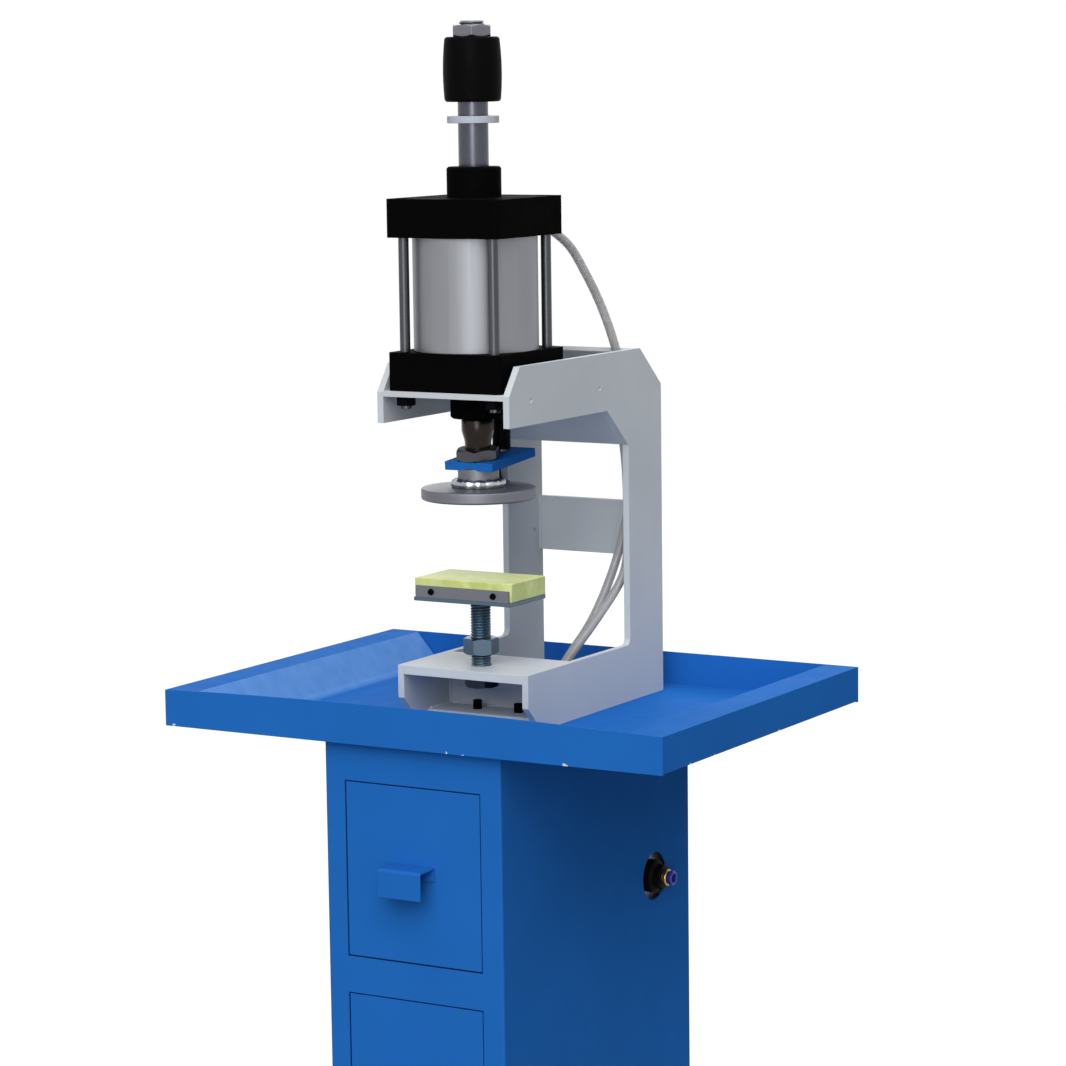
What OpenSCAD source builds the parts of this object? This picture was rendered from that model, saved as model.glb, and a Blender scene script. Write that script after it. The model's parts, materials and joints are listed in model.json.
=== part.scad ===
// Pneumatic leather punching machine: C-frame press on a drawer cabinet.
// X points right seen from the front, Y points back, Z points up.
// The origin is on the floor at the middle of the footprint. All sizes are in mm.
// Heights are above the floor. Plan positions are worked out from the ram axis.

/* [Cabinet] */
// cabinet width
cab_w = 176; // [150:1:260]
// cabinet depth
cab_d = 336; // [280:1:440]
// cabinet height above its feet
cab_h = 668; // [540:1:860]
// cabinet front face, measured forward from the ram axis
cab_fwd = 117; // [95:1:150]
// cabinet sheet thickness
cab_t = 1.5; // [1:0.1:3]
// rear flange width of the cabinet shell
cab_flange = 14; // [10:1:24]
// rubber foot height
foot_h = 20; // [12:1:40]
// rubber foot radius at the floor
foot_r = 14; // [10:1:22]

/* [Drawers] */
// width of a drawer opening
draw_w = 136; // [110:1:200]
// height of a drawer opening
draw_h = 155; // [110:1:190]
// sheet between the cabinet top and the upper opening
draw_top = 34; // [20:1:60]
// sheet between the two openings
draw_mid = 32; // [20:1:60]
// depth of a drawer box
draw_d = 190; // [150:1:210]
// height of a drawer box
box_h = 112; // [80:1:140]
// gap around a drawer front
draw_gap = 1.2; // [0.6:0.1:3]
// width of a drawer handle
grip_w = 43; // [30:1:80]
// reach of a drawer handle
grip_d = 24; // [16:1:40]
// drop of a drawer handle
grip_h = 25; // [16:1:40]

/* [Tray] */
// tray width
tray_w = 496; // [400:1:620]
// tray depth
tray_d = 372; // [350:1:460]
// tray overhang in front of the cabinet
tray_fwd = 11; // [4:1:40]
// rim height above the tray floor
rim_h = 30; // [20:1:50]
// width of the folded side rims
rim_w = 32; // [20:1:50]
// tray sheet thickness
tray_t = 2; // [1.5:0.1:3]

/* [C frame] */
// outside width over the two side plates
frame_w = 132; // [126:1:180]
// side plate thickness
side_t = 6; // [5:0.5:10]
// height of the foot
foot_box = 51; // [44:1:80]
// clear height of the throat
throat_h = 215; // [190:1:280]
// height of the arm
arm_h = 51; // [46:1:80]
// ram axis to column, the throat depth
throat_d = 150; // [130:1:220]
// column depth
col_d = 62; // [50:1:90]
// arm front ahead of the ram axis
arm_fwd = 57; // [56:1:80]
// foot front ahead of the ram axis
foot_fwd = 32; // [28:1:60]
// throat slope, back and down
slope_y = 38; // [25:1:50]
// drop of the throat slope
slope_z = 34; // [25:1:50]
// cross plate thickness
cross_t = 5; // [4:0.5:8]
// base plate thickness under the anvil
base_t = 8; // [6:0.5:12]
// base plate rear edge behind the ram axis
base_back = 50; // [40:1:70]
// top face of the cylinder plate above the arm's lower edge
seat_up = 28; // [24:1:40]
// height of the back brace
brace_h = 50; // [40:1:80]

/* [Cylinder] */
// side of the square end caps
cap_w = 112; // [104:1:112]
// end cap thickness
cap_h = 33; // [28:1:45]
// barrel length between the caps
barrel_l = 98; // [90:1:130]
// barrel outside radius
barrel_r = 54; // [52.5:0.5:54]
// cylinder bore radius
bore_r = 50; // [46:0.5:50]
// boss radius
boss_r = 23.5; // [21:0.5:28]
// boss length
boss_l = 26; // [18:1:34]
// tie rod spacing
tie_s = 89; // [86:1:92]
// tie rod radius
tie_r = 4.5; // [4:0.25:5]

/* [Ram] */
// piston rod radius
rod_r = 13; // [12:0.5:15]
// ram travel
stroke = 49; // [30:1:49]
// lower rod thread radius
screw_r = 10; // [8:0.5:11]
// upper rod thread radius
stud_r = 11; // [9:0.5:12]
// stop collar radius
collar_r = 24; // [20:0.5:28]
// stop collar height
collar_h = 55; // [45:1:70]
// stop collar to bump ring
ring_gap = 12; // [6:1:16]
// bump ring radius
ring_r = 22.3; // [19:0.1:26]
// bump ring height
ring_h = 6; // [4:0.5:9]
// press disc radius
disc_r = 50; // [40:1:56]
// press disc thickness
disc_t = 10; // [8:0.5:16]
// hub radius
hub_r = 16; // [14:0.5:20]
// hub height
hub_h = 18.5; // [12:0.5:30]
// guide plate width
guide_w = 48; // [40:1:60]
// guide plate thickness
guide_t = 6; // [4:0.5:10]
// guide plate front ahead of the ram axis
guide_fwd = 14; // [13:1:24]
// guide plate rear behind the ram axis
guide_back = 57; // [52:1:64]
// guide rod behind the ram axis
pin_y = 39.5; // [35:0.5:44]
// guide rod radius
pin_r = 6; // [5:0.25:7]
// guide sleeve outside radius
sleeve_r = 8; // [7:0.25:10]

/* [Anvil] */
// pad width
pad_w = 98; // [80:1:116]
// pad depth
pad_d = 58; // [48:1:80]
// pad thickness
pad_t = 16.5; // [12:0.5:25]
// pad top above the base plate
pad_up = 78; // [66:1:110]
// thickness of the plate under the pad
sole_t = 3.5; // [3:0.5:6]
// front strip height
strip_h = 10; // [6:0.5:12]
// front strip thickness
strip_t = 2; // [1.5:0.5:4]
// anvil stud radius
post_r = 9; // [8:0.5:11]
// gap between the base plate and the lock nut
lock_up = 10; // [5:0.5:16]

/* [Air line] */
// air tube radius
tube_r = 4; // [3:0.5:4]
// side hole radius
port_r = 22; // [18:1:26]
// side hole behind the ram axis
port_y = 152; // [140:1:165]
// side hole below the cabinet top
port_down = 158; // [150:1:170]
// side hole to the end face of the inlet
inlet_out = 10; // [6:0.5:20]

/* [Hidden] */
// fits and small shared sizes
run = 0.05;
nil = 0.01;
fine = 64;
// heights from the floor up
cab_z = foot_h;
deck_z = cab_z + cab_h;
floor_z = deck_z + tray_t;
rim_z = floor_z + rim_h;
base_z = floor_z + foot_box;
arm_z = base_z + throat_h;
top_z = arm_z + arm_h;
seat_z = arm_z + seat_up;
barrel_z = seat_z + cap_h;
head_z = barrel_z + barrel_l;
crown_z = head_z + cap_h;
boss_top = crown_z + boss_l;
boss_low = seat_z - boss_l;
// plan positions
rear_y = throat_d + col_d;
cab_y = -cab_fwd;
// deep enough for the rear screws of the frame
body_d = max(cab_d, rear_y - 15 - cab_y);
cab_back = cab_y + body_d;
tray_y = cab_y - tray_fwd;
tray_back = tray_y + tray_d;
gap_w = frame_w - 2 * side_t;
// ram heights, hanging from the lower boss
shoulder_z = boss_low - 8;
taper_h = 6;
jam_h = 10;
nut_gap = 12;
jam_z = shoulder_z - taper_h - nut_gap - jam_h;
guide_z = jam_z - guide_t;
hub_z = guide_z - hub_h;
disc_z = hub_z - disc_t;
// ram heights above the cylinder
ring_z = boss_top + stroke - ring_gap;
collar_z = ring_z + ring_h + ring_gap;
step_z = collar_z + 11.5;
thread_h = 20;
nut_h = 10;
stud_top = collar_z + collar_h + nut_h + 3.5;
piston_h = barrel_l - stroke - 1;
piston_z = head_z - 0.5 - piston_h;
// anvil heights
pad_z = base_z + pad_up;
sole_z = pad_z - pad_t - sole_t;
base_nut_h = 11;
post_low = base_z - base_t - base_nut_h + 1;
lock_h = 14.5;
lock_z = base_z + lock_up;
// drawers
open_1 = deck_z - draw_top - draw_h;
open_2 = open_1 - draw_mid - draw_h;
box_w = draw_w - 12;
box_up = 9;
box_t = 1;
front_y = cab_y + 0.3;
// ram axis in Y, so that handles and tray stand evenly about the origin
ram_y = -(tray_back + front_y - grip_d) / 2;
// rear panel screws
screw_x = cab_w / 2 - cab_flange / 2 - 0.5;
screw_zs = [cab_z + 30, cab_z + cab_h / 2, deck_z - 30];
// rear top corner of the frame
cut_y = 39;
cut_z = 35;
// air line positions
port_z = deck_z - port_down;
hole_x = 15;
hole_y = 94;
hole_r = 20;
valve_x = 65;
valve_w = 30;
valve_d = 60;
valve_h = 44;
// side plate outline as y, z points, with its root radius at the throat
root_r = 6;
side_outline = concat(
    [[-foot_fwd, base_z], [-foot_fwd, floor_z + 22], [-foot_fwd + 22, floor_z],
        [rear_y, floor_z], [rear_y, top_z - cut_z], [rear_y - cut_y, top_z],
        [-arm_fwd + 18, top_z], [-arm_fwd, top_z - 24], [-arm_fwd, arm_z],
        [throat_d - slope_y, arm_z], [throat_d, arm_z - slope_z]],
    [for (i = [0 : 6]) [throat_d - root_r + root_r * cos(i * 15), base_z + root_r - root_r * sin(i * 15)]]
);
// unit vector across the throat slope
slope_l = sqrt(slope_y * slope_y + slope_z * slope_z);
slope_n = [slope_z / slope_l, slope_y / slope_l];
// unit vector across the rear corner, pointing inward
cut_l = sqrt(cut_y * cut_y + cut_z * cut_z);
cut_n = [-cut_z / cut_l, -cut_y / cut_l];
// screws that hold the frame down
bolt_x = 21;
bolt_y1 = 27;
bolt_y2 = rear_y - 27;
bolt_r = 4;
slab_t = 6;
// colours
c_blue = [0.13, 0.39, 0.71];
c_grey = [0.60, 0.64, 0.68];
c_black = [0.05, 0.05, 0.05];
c_steel = [0.55, 0.57, 0.60];
c_dark = [0.25, 0.26, 0.28];
c_zinc = [0.45, 0.52, 0.58];
c_pad = [0.74, 0.79, 0.50];
c_alu = [0.78, 0.79, 0.80];
c_brass = [0.72, 0.58, 0.30];
c_rubber = [0.10, 0.10, 0.10];
c_clear = [0.80, 0.82, 0.82];
c_white = [0.85, 0.87, 0.88];

// front of the tray as x, z points: its top edge is bowed up at the middle
bow = 3.5;
front_edge = concat([[-tray_w / 2, deck_z], [tray_w / 2, deck_z]],
    [for (i = [12 : -1 : -12]) [i * tray_w / 24, rim_z + bow * (1 - i * i / 144)]]);

// tube centre lines: x, y, height above the tray floor, for the default sizes
route_a = [
    [0, 62, 441.5], [0, 82, 441.5], [4, 100, 434], [15, 114, 421], [20, 130, 411], [25, 140, 392],
    [31, 149, 374], [37, 158, 351], [43, 162, 330], [47.5, 167, 307], [50.5, 173, 282],
    [52, 178, 256], [52.5, 181, 230], [52, 181.5, 204], [50.5, 179.5, 180], [48, 175.5, 154],
    [44, 170, 132], [39, 164, 110],
    [34, 154, 88], [29, 142, 68], [25, 124, 52], [19, 110, 36], [12, 102, 14], [10, 100, -6],
    [10, 100, -28], [14, 110, -50], [26, 130, -70], [44, 150, -88], [60, 163, -102],
    [65, 166, -112], [65, 166, -136]
];
route_b = [
    [0, 62, 310.5], [0, 82, 310.5], [9, 102, 308], [23, 121, 301], [37, 138, 289], [47, 150, 273],
    [53, 158, 252], [54.5, 163, 228], [55, 166, 202], [55, 167, 176], [55, 167, 150],
    [55, 166.5, 128], [53.5, 162, 111], [50, 148, 96.5], [45.5, 130.5, 79.5], [37, 107, 56],
    [28, 98, 40],
    [21, 90, 16], [20, 90, -6], [20, 90, -28], [24, 94, -50], [34, 106, -70], [48, 122, -88],
    [61, 135, -102], [65, 138, -112], [65, 138, -136]
];
// how far other sizes stretch those lines
valve_top = port_z + valve_h / 2;
drop_k = (floor_z - valve_top) / 138;
side_k = gap_w / 120;
frame_up = 317;
back_y = throat_d - 150;
cap_y = (cap_w - 112) / 2;
sides = 12;

// child moved from the ram axis to its place on the floor
module on_axis() {
    translate([0, ram_y, 0])
        children();
}

// hexagon nut or head along Z with both ends chamfered, af across flats
module hex_solid(af, h) {
    intersection() {
        cylinder(h = h, r = af / sqrt(3), $fn = 6);
        rotate_extrude($fn = fine)
            polygon([[0, 0], [af * 0.49, 0], [af / sqrt(3) + 0.1, af * 0.055],
                [af / sqrt(3) + 0.1, h - af * 0.055], [af * 0.49, h], [0, h]]);
    }
}

// cylinder bored along Z
module ring(r_out, r_in, h) {
    difference() {
        cylinder(h = h, r = r_out, $fn = fine);
        translate([0, 0, -1])
            cylinder(h = h + 2, r = r_in, $fn = fine);
    }
}

// child copied to the four tie rod corners
module at_ties() {
    for (sx = [-1, 1])
        for (sy = [-1, 1])
            translate([sx * tie_s / 2, sy * tie_s / 2, 0])
                children();
}

// child copied to the four frame screws
module at_bolts() {
    for (sx = [-1, 1])
        for (y = [bolt_y1, bolt_y2])
            translate([sx * bolt_x, y, 0])
                children();
}

// profile given as y, z points, extruded along X about the middle
module across(width, points) {
    translate([-width / 2, 0, 0])
        rotate([90, 0, 90])
            linear_extrude(height = width)
                polygon(points);
}

// ---- cabinet ----

// front with the drawer openings, bottom and rear flanges
module cabinet_shell() {
    color(c_blue) on_axis()
        difference() {
            translate([-cab_w / 2, cab_y, cab_z])
                cube([cab_w, body_d, cab_h]);
            translate([-cab_w / 2 + cab_t, cab_y + cab_t, cab_z + cab_t])
                cube([cab_w - 2 * cab_t, body_d - 2 * cab_t, cab_h]);
            translate([-cab_w / 2 + cab_flange, cab_back - cab_t - 1, cab_z + cab_flange])
                cube([cab_w - 2 * cab_flange, cab_t + 2, cab_h]);
            for (z = [open_1, open_2])
                translate([-draw_w / 2, cab_y - 1, z])
                    cube([draw_w, cab_t + 2, draw_h]);
            for (x = [-cab_w / 2 - 1, cab_w / 2 - cab_t])
                translate([x, cab_y + cab_t, cab_z + cab_t])
                    cube([cab_t + 1, body_d - 2 * cab_t, cab_h]);
            back_screw_holes();
            at_feet()
                translate([0, 0, cab_z - 1])
                    cylinder(h = cab_t + 2, r = 3, $fn = 32);
        }
}

// side sheets, welded in behind the front; the right one has the inlet's hole
module cabinet_sides() {
    color(c_blue) on_axis()
        difference() {
            for (x = [-cab_w / 2, cab_w / 2 - cab_t])
                translate([x, cab_y + cab_t, cab_z + cab_t])
                    cube([cab_t, body_d - 2 * cab_t, cab_h - cab_t]);
            translate([cab_w / 2 - cab_t - 1, port_y, port_z])
                rotate([0, 90, 0])
                    cylinder(h = cab_t + 2, r = port_r, $fn = fine);
        }
}

module back_screw_holes() {
    for (sx = [-1, 1])
        for (z = screw_zs)
            translate([sx * screw_x, cab_back + 1, z])
                rotate([90, 0, 0])
                    cylinder(h = cab_t + 4, r = 2, $fn = 24);
}

module cabinet_top() {
    color(c_blue) on_axis()
        difference() {
            translate([-cab_w / 2 + cab_t, cab_y + cab_t, deck_z - tray_t])
                cube([cab_w - 2 * cab_t, body_d - 2 * cab_t, tray_t]);
            translate([hole_x, hole_y, deck_z - tray_t - 1])
                cylinder(h = tray_t + 2, r = hole_r, $fn = fine);
            translate([0, 0, deck_z - tray_t - 1])
                at_bolts()
                    cylinder(h = tray_t + 2, r = bolt_r + 0.5, $fn = 32);
        }
}

module cabinet_back() {
    color(c_blue) on_axis()
        difference() {
            translate([-cab_w / 2 + cab_t + 0.5, cab_back - cab_t - 1.2, cab_z + cab_t + 0.2])
                cube([cab_w - 2 * cab_t - 1, 1.2, cab_h - cab_t - tray_t - 0.4]);
            back_screw_holes();
        }
}

module back_screws() {
    color(c_zinc) on_axis()
        for (sx = [-1, 1])
            for (z = screw_zs)
                translate([sx * screw_x, cab_back, z])
                    rotate([-90, 0, 0])
                        union() {
                            cylinder(h = 2, r1 = 3.8, r2 = 2.4, $fn = 32);
                            translate([0, 0, -6])
                                cylinder(h = 6 + nil, r = 2, $fn = 24);
                        }
}

module at_feet() {
    for (sx = [-1, 1])
        for (y = [cab_y + 22, cab_back - 22])
            translate([sx * (cab_w / 2 - 20), y, 0])
                children();
}

// rubber foot with its own stem, pulled through a hole in the sheet
module feet() {
    color(c_rubber) on_axis()
        at_feet()
            rotate_extrude($fn = fine)
                polygon([[0, 0], [foot_r, 0], [foot_r + 2, foot_h], [3, foot_h], [3, foot_h + cab_t],
                    [5, foot_h + cab_t], [3, foot_h + cab_t + 5], [0, foot_h + cab_t + 5]]);
}

// one runner: wall leg, shelf and side guide, for the opening at z
module runner(z) {
    wall_x = cab_w / 2 - cab_t;
    shelf_in = box_w / 2 - 8;
    y0 = cab_y + cab_t + 1;
    top = z + box_up - 0.3;
    len = draw_d - 12;
    union() {
        translate([shelf_in, y0, top - box_t])
            cube([wall_x - shelf_in, len, box_t]);
        translate([wall_x - box_t, y0, top - 12])
            cube([box_t, len, 12]);
        translate([box_w / 2 + 0.6, y0, top - box_t])
            cube([box_t, len, 11]);
    }
}

module drawer_runners() {
    color(c_zinc) on_axis()
        for (z = [open_1, open_2]) {
            runner(z);
            mirror([1, 0, 0])
                runner(z);
        }
}

// drawer box with its front panel, for the opening at z
module drawer(z) {
    front_w = draw_w - 2 * draw_gap;
    front_h = draw_h - 2 * draw_gap;
    color(c_blue) on_axis()
        union() {
            translate([-front_w / 2, front_y, z + draw_gap])
                cube([front_w, cab_t, front_h]);
            difference() {
                translate([-box_w / 2, front_y + nil, z + box_up])
                    cube([box_w, draw_d, box_h]);
                translate([-box_w / 2 + box_t, front_y + cab_t, z + box_up + box_t])
                    cube([box_w - 2 * box_t, draw_d - cab_t - box_t, box_h]);
            }
        }
}

// bent handle: weld leg on the drawer front, top flange and front flange
module handle(z) {
    top = z + draw_h * 0.56;
    y1 = front_y - grip_d;
    t = 2;
    color(c_blue) on_axis()
        across(grip_w, [[front_y, top - 12], [front_y, top], [y1 + 2.5, top], [y1 + 0.7, top - 0.7],
            [y1, top - 2.5], [y1, top - grip_h], [y1 + t, top - grip_h], [y1 + t, top - t],
            [front_y - t, top - t], [front_y - t, top - 12]]);
}

module drawer_upper() {
    drawer(open_1);
}

module drawer_lower() {
    drawer(open_2);
}

module handle_upper() {
    handle(open_1);
}

module handle_lower() {
    handle(open_2);
}

// ---- tray ----

module tray() {
    half = tray_w / 2;
    color(c_blue) on_axis()
        difference() {
            union() {
                translate([0, tray_y + tray_t, 0])
                    for (m = [0, 1])
                        mirror([m, 0, 0])
                            tray_side(half);
                translate([-half, tray_back - tray_t, deck_z])
                    cube([tray_w, tray_t, rim_h + tray_t]);
                translate([0, tray_y + tray_t, 0])
                    rotate([90, 0, 0])
                        linear_extrude(height = tray_t)
                            polygon(front_edge);
            }
            translate([hole_x, hole_y, deck_z - 1])
                cylinder(h = tray_t + 2, r = hole_r, $fn = fine);
            translate([0, 0, deck_z - 1])
                at_bolts()
                    cylinder(h = tray_t + 2, r = bolt_r + 0.5, $fn = 32);
        }
}

// half of the tray sheet: floor, inner wall, lip and outer wall
module tray_side(half) {
    translate([0, tray_d - 2 * tray_t, 0])
        rotate([90, 0, 0])
            linear_extrude(height = tray_d - 2 * tray_t)
                polygon([[0, deck_z], [half - rim_w + tray_t, deck_z],
                    [half - rim_w + tray_t, rim_z - tray_t], [half - tray_t, rim_z - tray_t],
                    [half - tray_t, deck_z + 1], [half, deck_z + 1], [half, rim_z],
                    [half - rim_w, rim_z], [half - rim_w, floor_z], [0, floor_z]]);
}

module tube_grommet() {
    color(c_rubber) on_axis()
        translate([hole_x, hole_y, 0])
            rotate_extrude($fn = fine)
                polygon([[16, deck_z - 4], [22, deck_z - 4], [22, deck_z - 2.2], [hole_r, deck_z - 2.2],
                    [hole_r, floor_z + 0.2], [22, floor_z + 0.2], [22, floor_z + 2], [16, floor_z + 2]]);
}

// ---- C frame ----

module side_plate(x) {
    translate([x, 0, 0])
        rotate([90, 0, 90])
            linear_extrude(height = side_t)
                polygon(side_outline);
}

module side_plate_left() {
    color(c_grey) on_axis()
        difference() {
            side_plate(-frame_w / 2);
            side_dimples();
            translate([-frame_w / 2 - 1, rear_y - 15, base_z + throat_h * 0.43])
                rotate([0, 90, 0])
                    cylinder(h = side_t + 2, r = 2, $fn = 24);
        }
}

module side_plate_right() {
    color(c_grey) on_axis()
        difference() {
            side_plate(frame_w / 2 - side_t);
            side_dimples();
        }
}

// shallow marks outside both arms, level with the cylinder plate
module side_dimples() {
    for (sx = [-1, 1])
        for (y = [-21, 99])
            translate([sx * frame_w / 2, y, seat_z - 7])
                sphere(r = 2, $fn = 24);
}

module base_plate() {
    color(c_grey) on_axis()
        difference() {
            translate([-gap_w / 2, -foot_fwd, base_z - base_t])
                cube([gap_w, foot_fwd + base_back, base_t]);
            translate([0, 0, base_z - base_t - 1])
                cylinder(h = base_t + 2, r = post_r + run, $fn = fine);
        }
}

module foot_web() {
    color(c_grey) on_axis()
        translate([-gap_w / 2, base_back - side_t, floor_z + slab_t])
            cube([gap_w, side_t, foot_box - base_t - slab_t]);
}

module foot_flanges() {
    color(c_grey) on_axis()
        difference() {
            union() {
                translate([-gap_w / 2, 6, floor_z])
                    cube([gap_w, base_back - 6, slab_t]);
                translate([-gap_w / 2, rear_y - 50, floor_z])
                    cube([gap_w, 44, slab_t]);
            }
            translate([0, 0, floor_z - 1])
                at_bolts()
                    cylinder(h = slab_t + 2, r = bolt_r, $fn = 32);
        }
}

module frame_screws() {
    color(c_black) on_axis()
        at_bolts()
            union() {
                translate([0, 0, deck_z - tray_t - 8])
                    difference() {
                        cylinder(h = 8, r = 6.5, $fn = 48);
                        translate([0, 0, -1])
                            cylinder(h = 5, r = 3.4, $fn = 6);
                    }
                translate([0, 0, deck_z - tray_t - nil])
                    cylinder(h = 2 * tray_t + slab_t + 8, r = bolt_r, $fn = 32);
            }
}

module base_nut() {
    color(c_zinc) on_axis()
        translate([0, 0, base_z - base_t - base_nut_h])
            difference() {
                rotate([0, 0, 11])
                    hex_solid(27, base_nut_h);
                translate([0, 0, -1])
                    cylinder(h = base_nut_h + 2, r = post_r + run, $fn = fine);
            }
}

module cylinder_plate() {
    color(c_grey) on_axis()
        difference() {
            translate([-gap_w / 2, -arm_fwd, seat_z - cross_t])
                cube([gap_w, arm_fwd + throat_d - slope_y - 4, cross_t]);
            translate([0, 0, seat_z - cross_t - 1])
                cylinder(h = cross_t + 2, r = boss_r, $fn = fine);
            translate([0, 0, seat_z - cross_t - 1])
                at_ties()
                    cylinder(h = cross_t + 2, r = tie_r + 0.5, $fn = 32);
        }
}

module throat_plate() {
    a = [throat_d - slope_y, arm_z];
    b = [throat_d, arm_z - slope_z];
    color(c_grey) on_axis()
        across(gap_w, [a, b, b + cross_t * slope_n, a + cross_t * slope_n]);
}

module rear_top_plate() {
    a = [rear_y - cut_y, top_z];
    b = [rear_y, top_z - cut_z];
    color(c_grey) on_axis()
        across(gap_w, [a, b, b + cross_t * cut_n, a + cross_t * cut_n]);
}

module back_brace() {
    color(c_grey) on_axis()
        translate([-gap_w / 2, rear_y - side_t, base_z + throat_h * 0.34])
            cube([gap_w, side_t, brace_h]);
}

module guide_sleeve() {
    sleeve_low = guide_z + guide_t + 2;
    color(c_black) on_axis()
        translate([0, pin_y, sleeve_low])
            ring(sleeve_r, pin_r + run, seat_z - cross_t - sleeve_low);
}

// ---- cylinder ----

// square with rounded corners, as points
function soft_square(w, r) = [for (q = [0 : 3]) for (i = [0 : 4])
    let (a = q * 90 + i * 22.5, c = w / 2 - r)
    [c * sign(cos(q * 90 + 45)) + r * cos(a), c * sign(sin(q * 90 + 45)) + r * sin(a)]];

// end cap with its boss pointing up and its port at the back
module end_cap() {
    difference() {
        union() {
            linear_extrude(height = cap_h)
                polygon(soft_square(cap_w, 5));
            translate([0, 0, cap_h - nil])
                rotate_extrude($fn = fine)
                    polygon([[0, 0], [boss_r, 0], [boss_r, boss_l - 1.5],
                        [boss_r - 1.5, boss_l], [0, boss_l]]);
        }
        translate([0, 0, -1])
            cylinder(h = cap_h + boss_l + 2, r = rod_r + 3, $fn = fine);
        translate([0, 0, cap_h + boss_l - 6])
            cylinder(h = 7, r = rod_r + 5, $fn = fine);
        translate([0, cap_w / 2 + 1, cap_h / 2])
            rotate([90, 0, 0])
                cylinder(h = 21, r = 9, $fn = 48);
        translate([0, cap_w / 2 - 14, -1])
            cylinder(h = cap_h / 2, r = 3, $fn = 32);
        translate([0, 0, -1])
            at_ties()
                cylinder(h = cap_h + 2, r = tie_r, $fn = 32);
    }
}

module cap_upper() {
    color(c_black) on_axis()
        translate([0, 0, head_z])
            difference() {
                end_cap();
                translate([0, 0, cap_h - 11])
                    at_ties()
                        cylinder(h = 12, r = 8.6, $fn = 48);
            }
}

module cap_lower() {
    color(c_black) on_axis()
        translate([0, 0, barrel_z])
            mirror([0, 0, 1])
                end_cap();
}

module barrel() {
    color(c_alu) on_axis()
        translate([0, 0, barrel_z])
            ring(barrel_r, bore_r, barrel_l);
}

module tie_rods() {
    color(c_dark) on_axis()
        at_ties()
            translate([0, 0, seat_z - cross_t - 11])
                cylinder(h = crown_z - 6 - seat_z + cross_t + 11, r = tie_r, $fn = 48);
}

module tie_nuts_lower() {
    color(c_dark) on_axis()
        at_ties()
            translate([0, 0, seat_z - cross_t - 8])
                difference() {
                    hex_solid(16, 8);
                    translate([0, 0, -1])
                        cylinder(h = 10, r = tie_r, $fn = 32);
                }
}

module tie_nuts_upper() {
    color(c_steel) on_axis()
        at_ties()
            translate([0, 0, crown_z - 11])
                difference() {
                    cylinder(h = 9.5, r = 8, $fn = 48);
                    translate([0, 0, -1])
                        cylinder(h = 6, r = tie_r, $fn = 32);
                    translate([0, 0, 4])
                        cylinder(h = 6, r = 4.7, $fn = 6);
                }
}

module rod_bushes() {
    color(c_brass) on_axis()
        for (z = [head_z + 2, boss_low + 8])
            translate([0, 0, z])
                ring(rod_r + 3, rod_r + run, cap_h + boss_l - 10);
}

module rod_wipers() {
    color(c_rubber) on_axis()
        for (z = [boss_top - 6, boss_low])
            translate([0, 0, z])
                ring(rod_r + 5, rod_r + run, 6);
}

// straight push fitting along Z, its thread below zero
module push_fitting(thread) {
    difference() {
        union() {
            translate([0, 0, -12])
                cylinder(h = 12 + nil, r = thread, $fn = 48);
            hex_solid(22, 8);
            translate([0, 0, 8 - nil])
                cylinder(h = 12, r = 8, $fn = 48);
            translate([0, 0, 20 - 2 * nil])
                cylinder(h = 3, r = 6.2, $fn = 48);
        }
        translate([0, 0, -13])
            cylinder(h = 40, r = tube_r + 0.1, $fn = 48);
    }
}

module port_fittings() {
    color(c_black) on_axis()
        for (z = [head_z + cap_h / 2, barrel_z - cap_h / 2])
            translate([0, cap_w / 2, z])
                rotate([-90, 0, 0])
                    push_fitting(9);
}

// ---- ram ----

module piston() {
    groove = 5;
    color(c_alu) on_axis()
        translate([0, 0, piston_z])
            rotate_extrude($fn = 96)
                polygon([[rod_r, 0], [bore_r - 0.1, 0],
                    [bore_r - 0.1, 9], [bore_r - groove, 9], [bore_r - groove, 15], [bore_r - 0.1, 15],
                    [bore_r - 0.1, piston_h - 15], [bore_r - groove, piston_h - 15],
                    [bore_r - groove, piston_h - 9], [bore_r - 0.1, piston_h - 9],
                    [bore_r - 0.1, piston_h], [rod_r, piston_h]]);
}

module piston_seals() {
    color(c_rubber) on_axis()
        for (z = [9, piston_h - 15])
            translate([0, 0, piston_z + z])
                ring(bore_r - run, bore_r - 5, 6);
}

module piston_rod() {
    low = hub_z + 3;
    color(c_steel) on_axis()
        rotate_extrude($fn = fine)
            polygon([[0, low], [screw_r - 1.5, low], [screw_r, low + 1.5], [screw_r, shoulder_z - taper_h],
                [rod_r, shoulder_z], [rod_r, step_z - 1], [rod_r - 1, step_z], [stud_r, step_z],
                [stud_r, stud_top - 1.5], [stud_r - 1.5, stud_top], [0, stud_top]]);
}

module ram_nut() {
    color(c_steel) on_axis()
        translate([0, 0, jam_z])
            difference() {
                rotate([0, 0, -7])
                    hex_solid(32, jam_h);
                translate([0, 0, -1])
                    cylinder(h = jam_h + 2, r = screw_r, $fn = fine);
            }
}

module guide_plate() {
    color(c_blue) on_axis()
        difference() {
            translate([-guide_w / 2, -guide_fwd, guide_z])
                cube([guide_w, guide_fwd + guide_back, guide_t]);
            translate([0, 0, guide_z - 1])
                cylinder(h = guide_t + 2, r = screw_r, $fn = fine);
            translate([0, pin_y, guide_z - 1])
                cylinder(h = guide_t + 2, r = pin_r, $fn = 48);
        }
}

module guide_rod() {
    color(c_steel) on_axis()
        translate([0, pin_y, 0])
            rotate_extrude($fn = 48)
                polygon([[0, hub_z], [pin_r + 2, hub_z], [pin_r, hub_z + 2], [pin_r, seat_z - cross_t - 3],
                    [pin_r - 1, seat_z - cross_t - 2], [0, seat_z - cross_t - 2]]);
}

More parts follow.
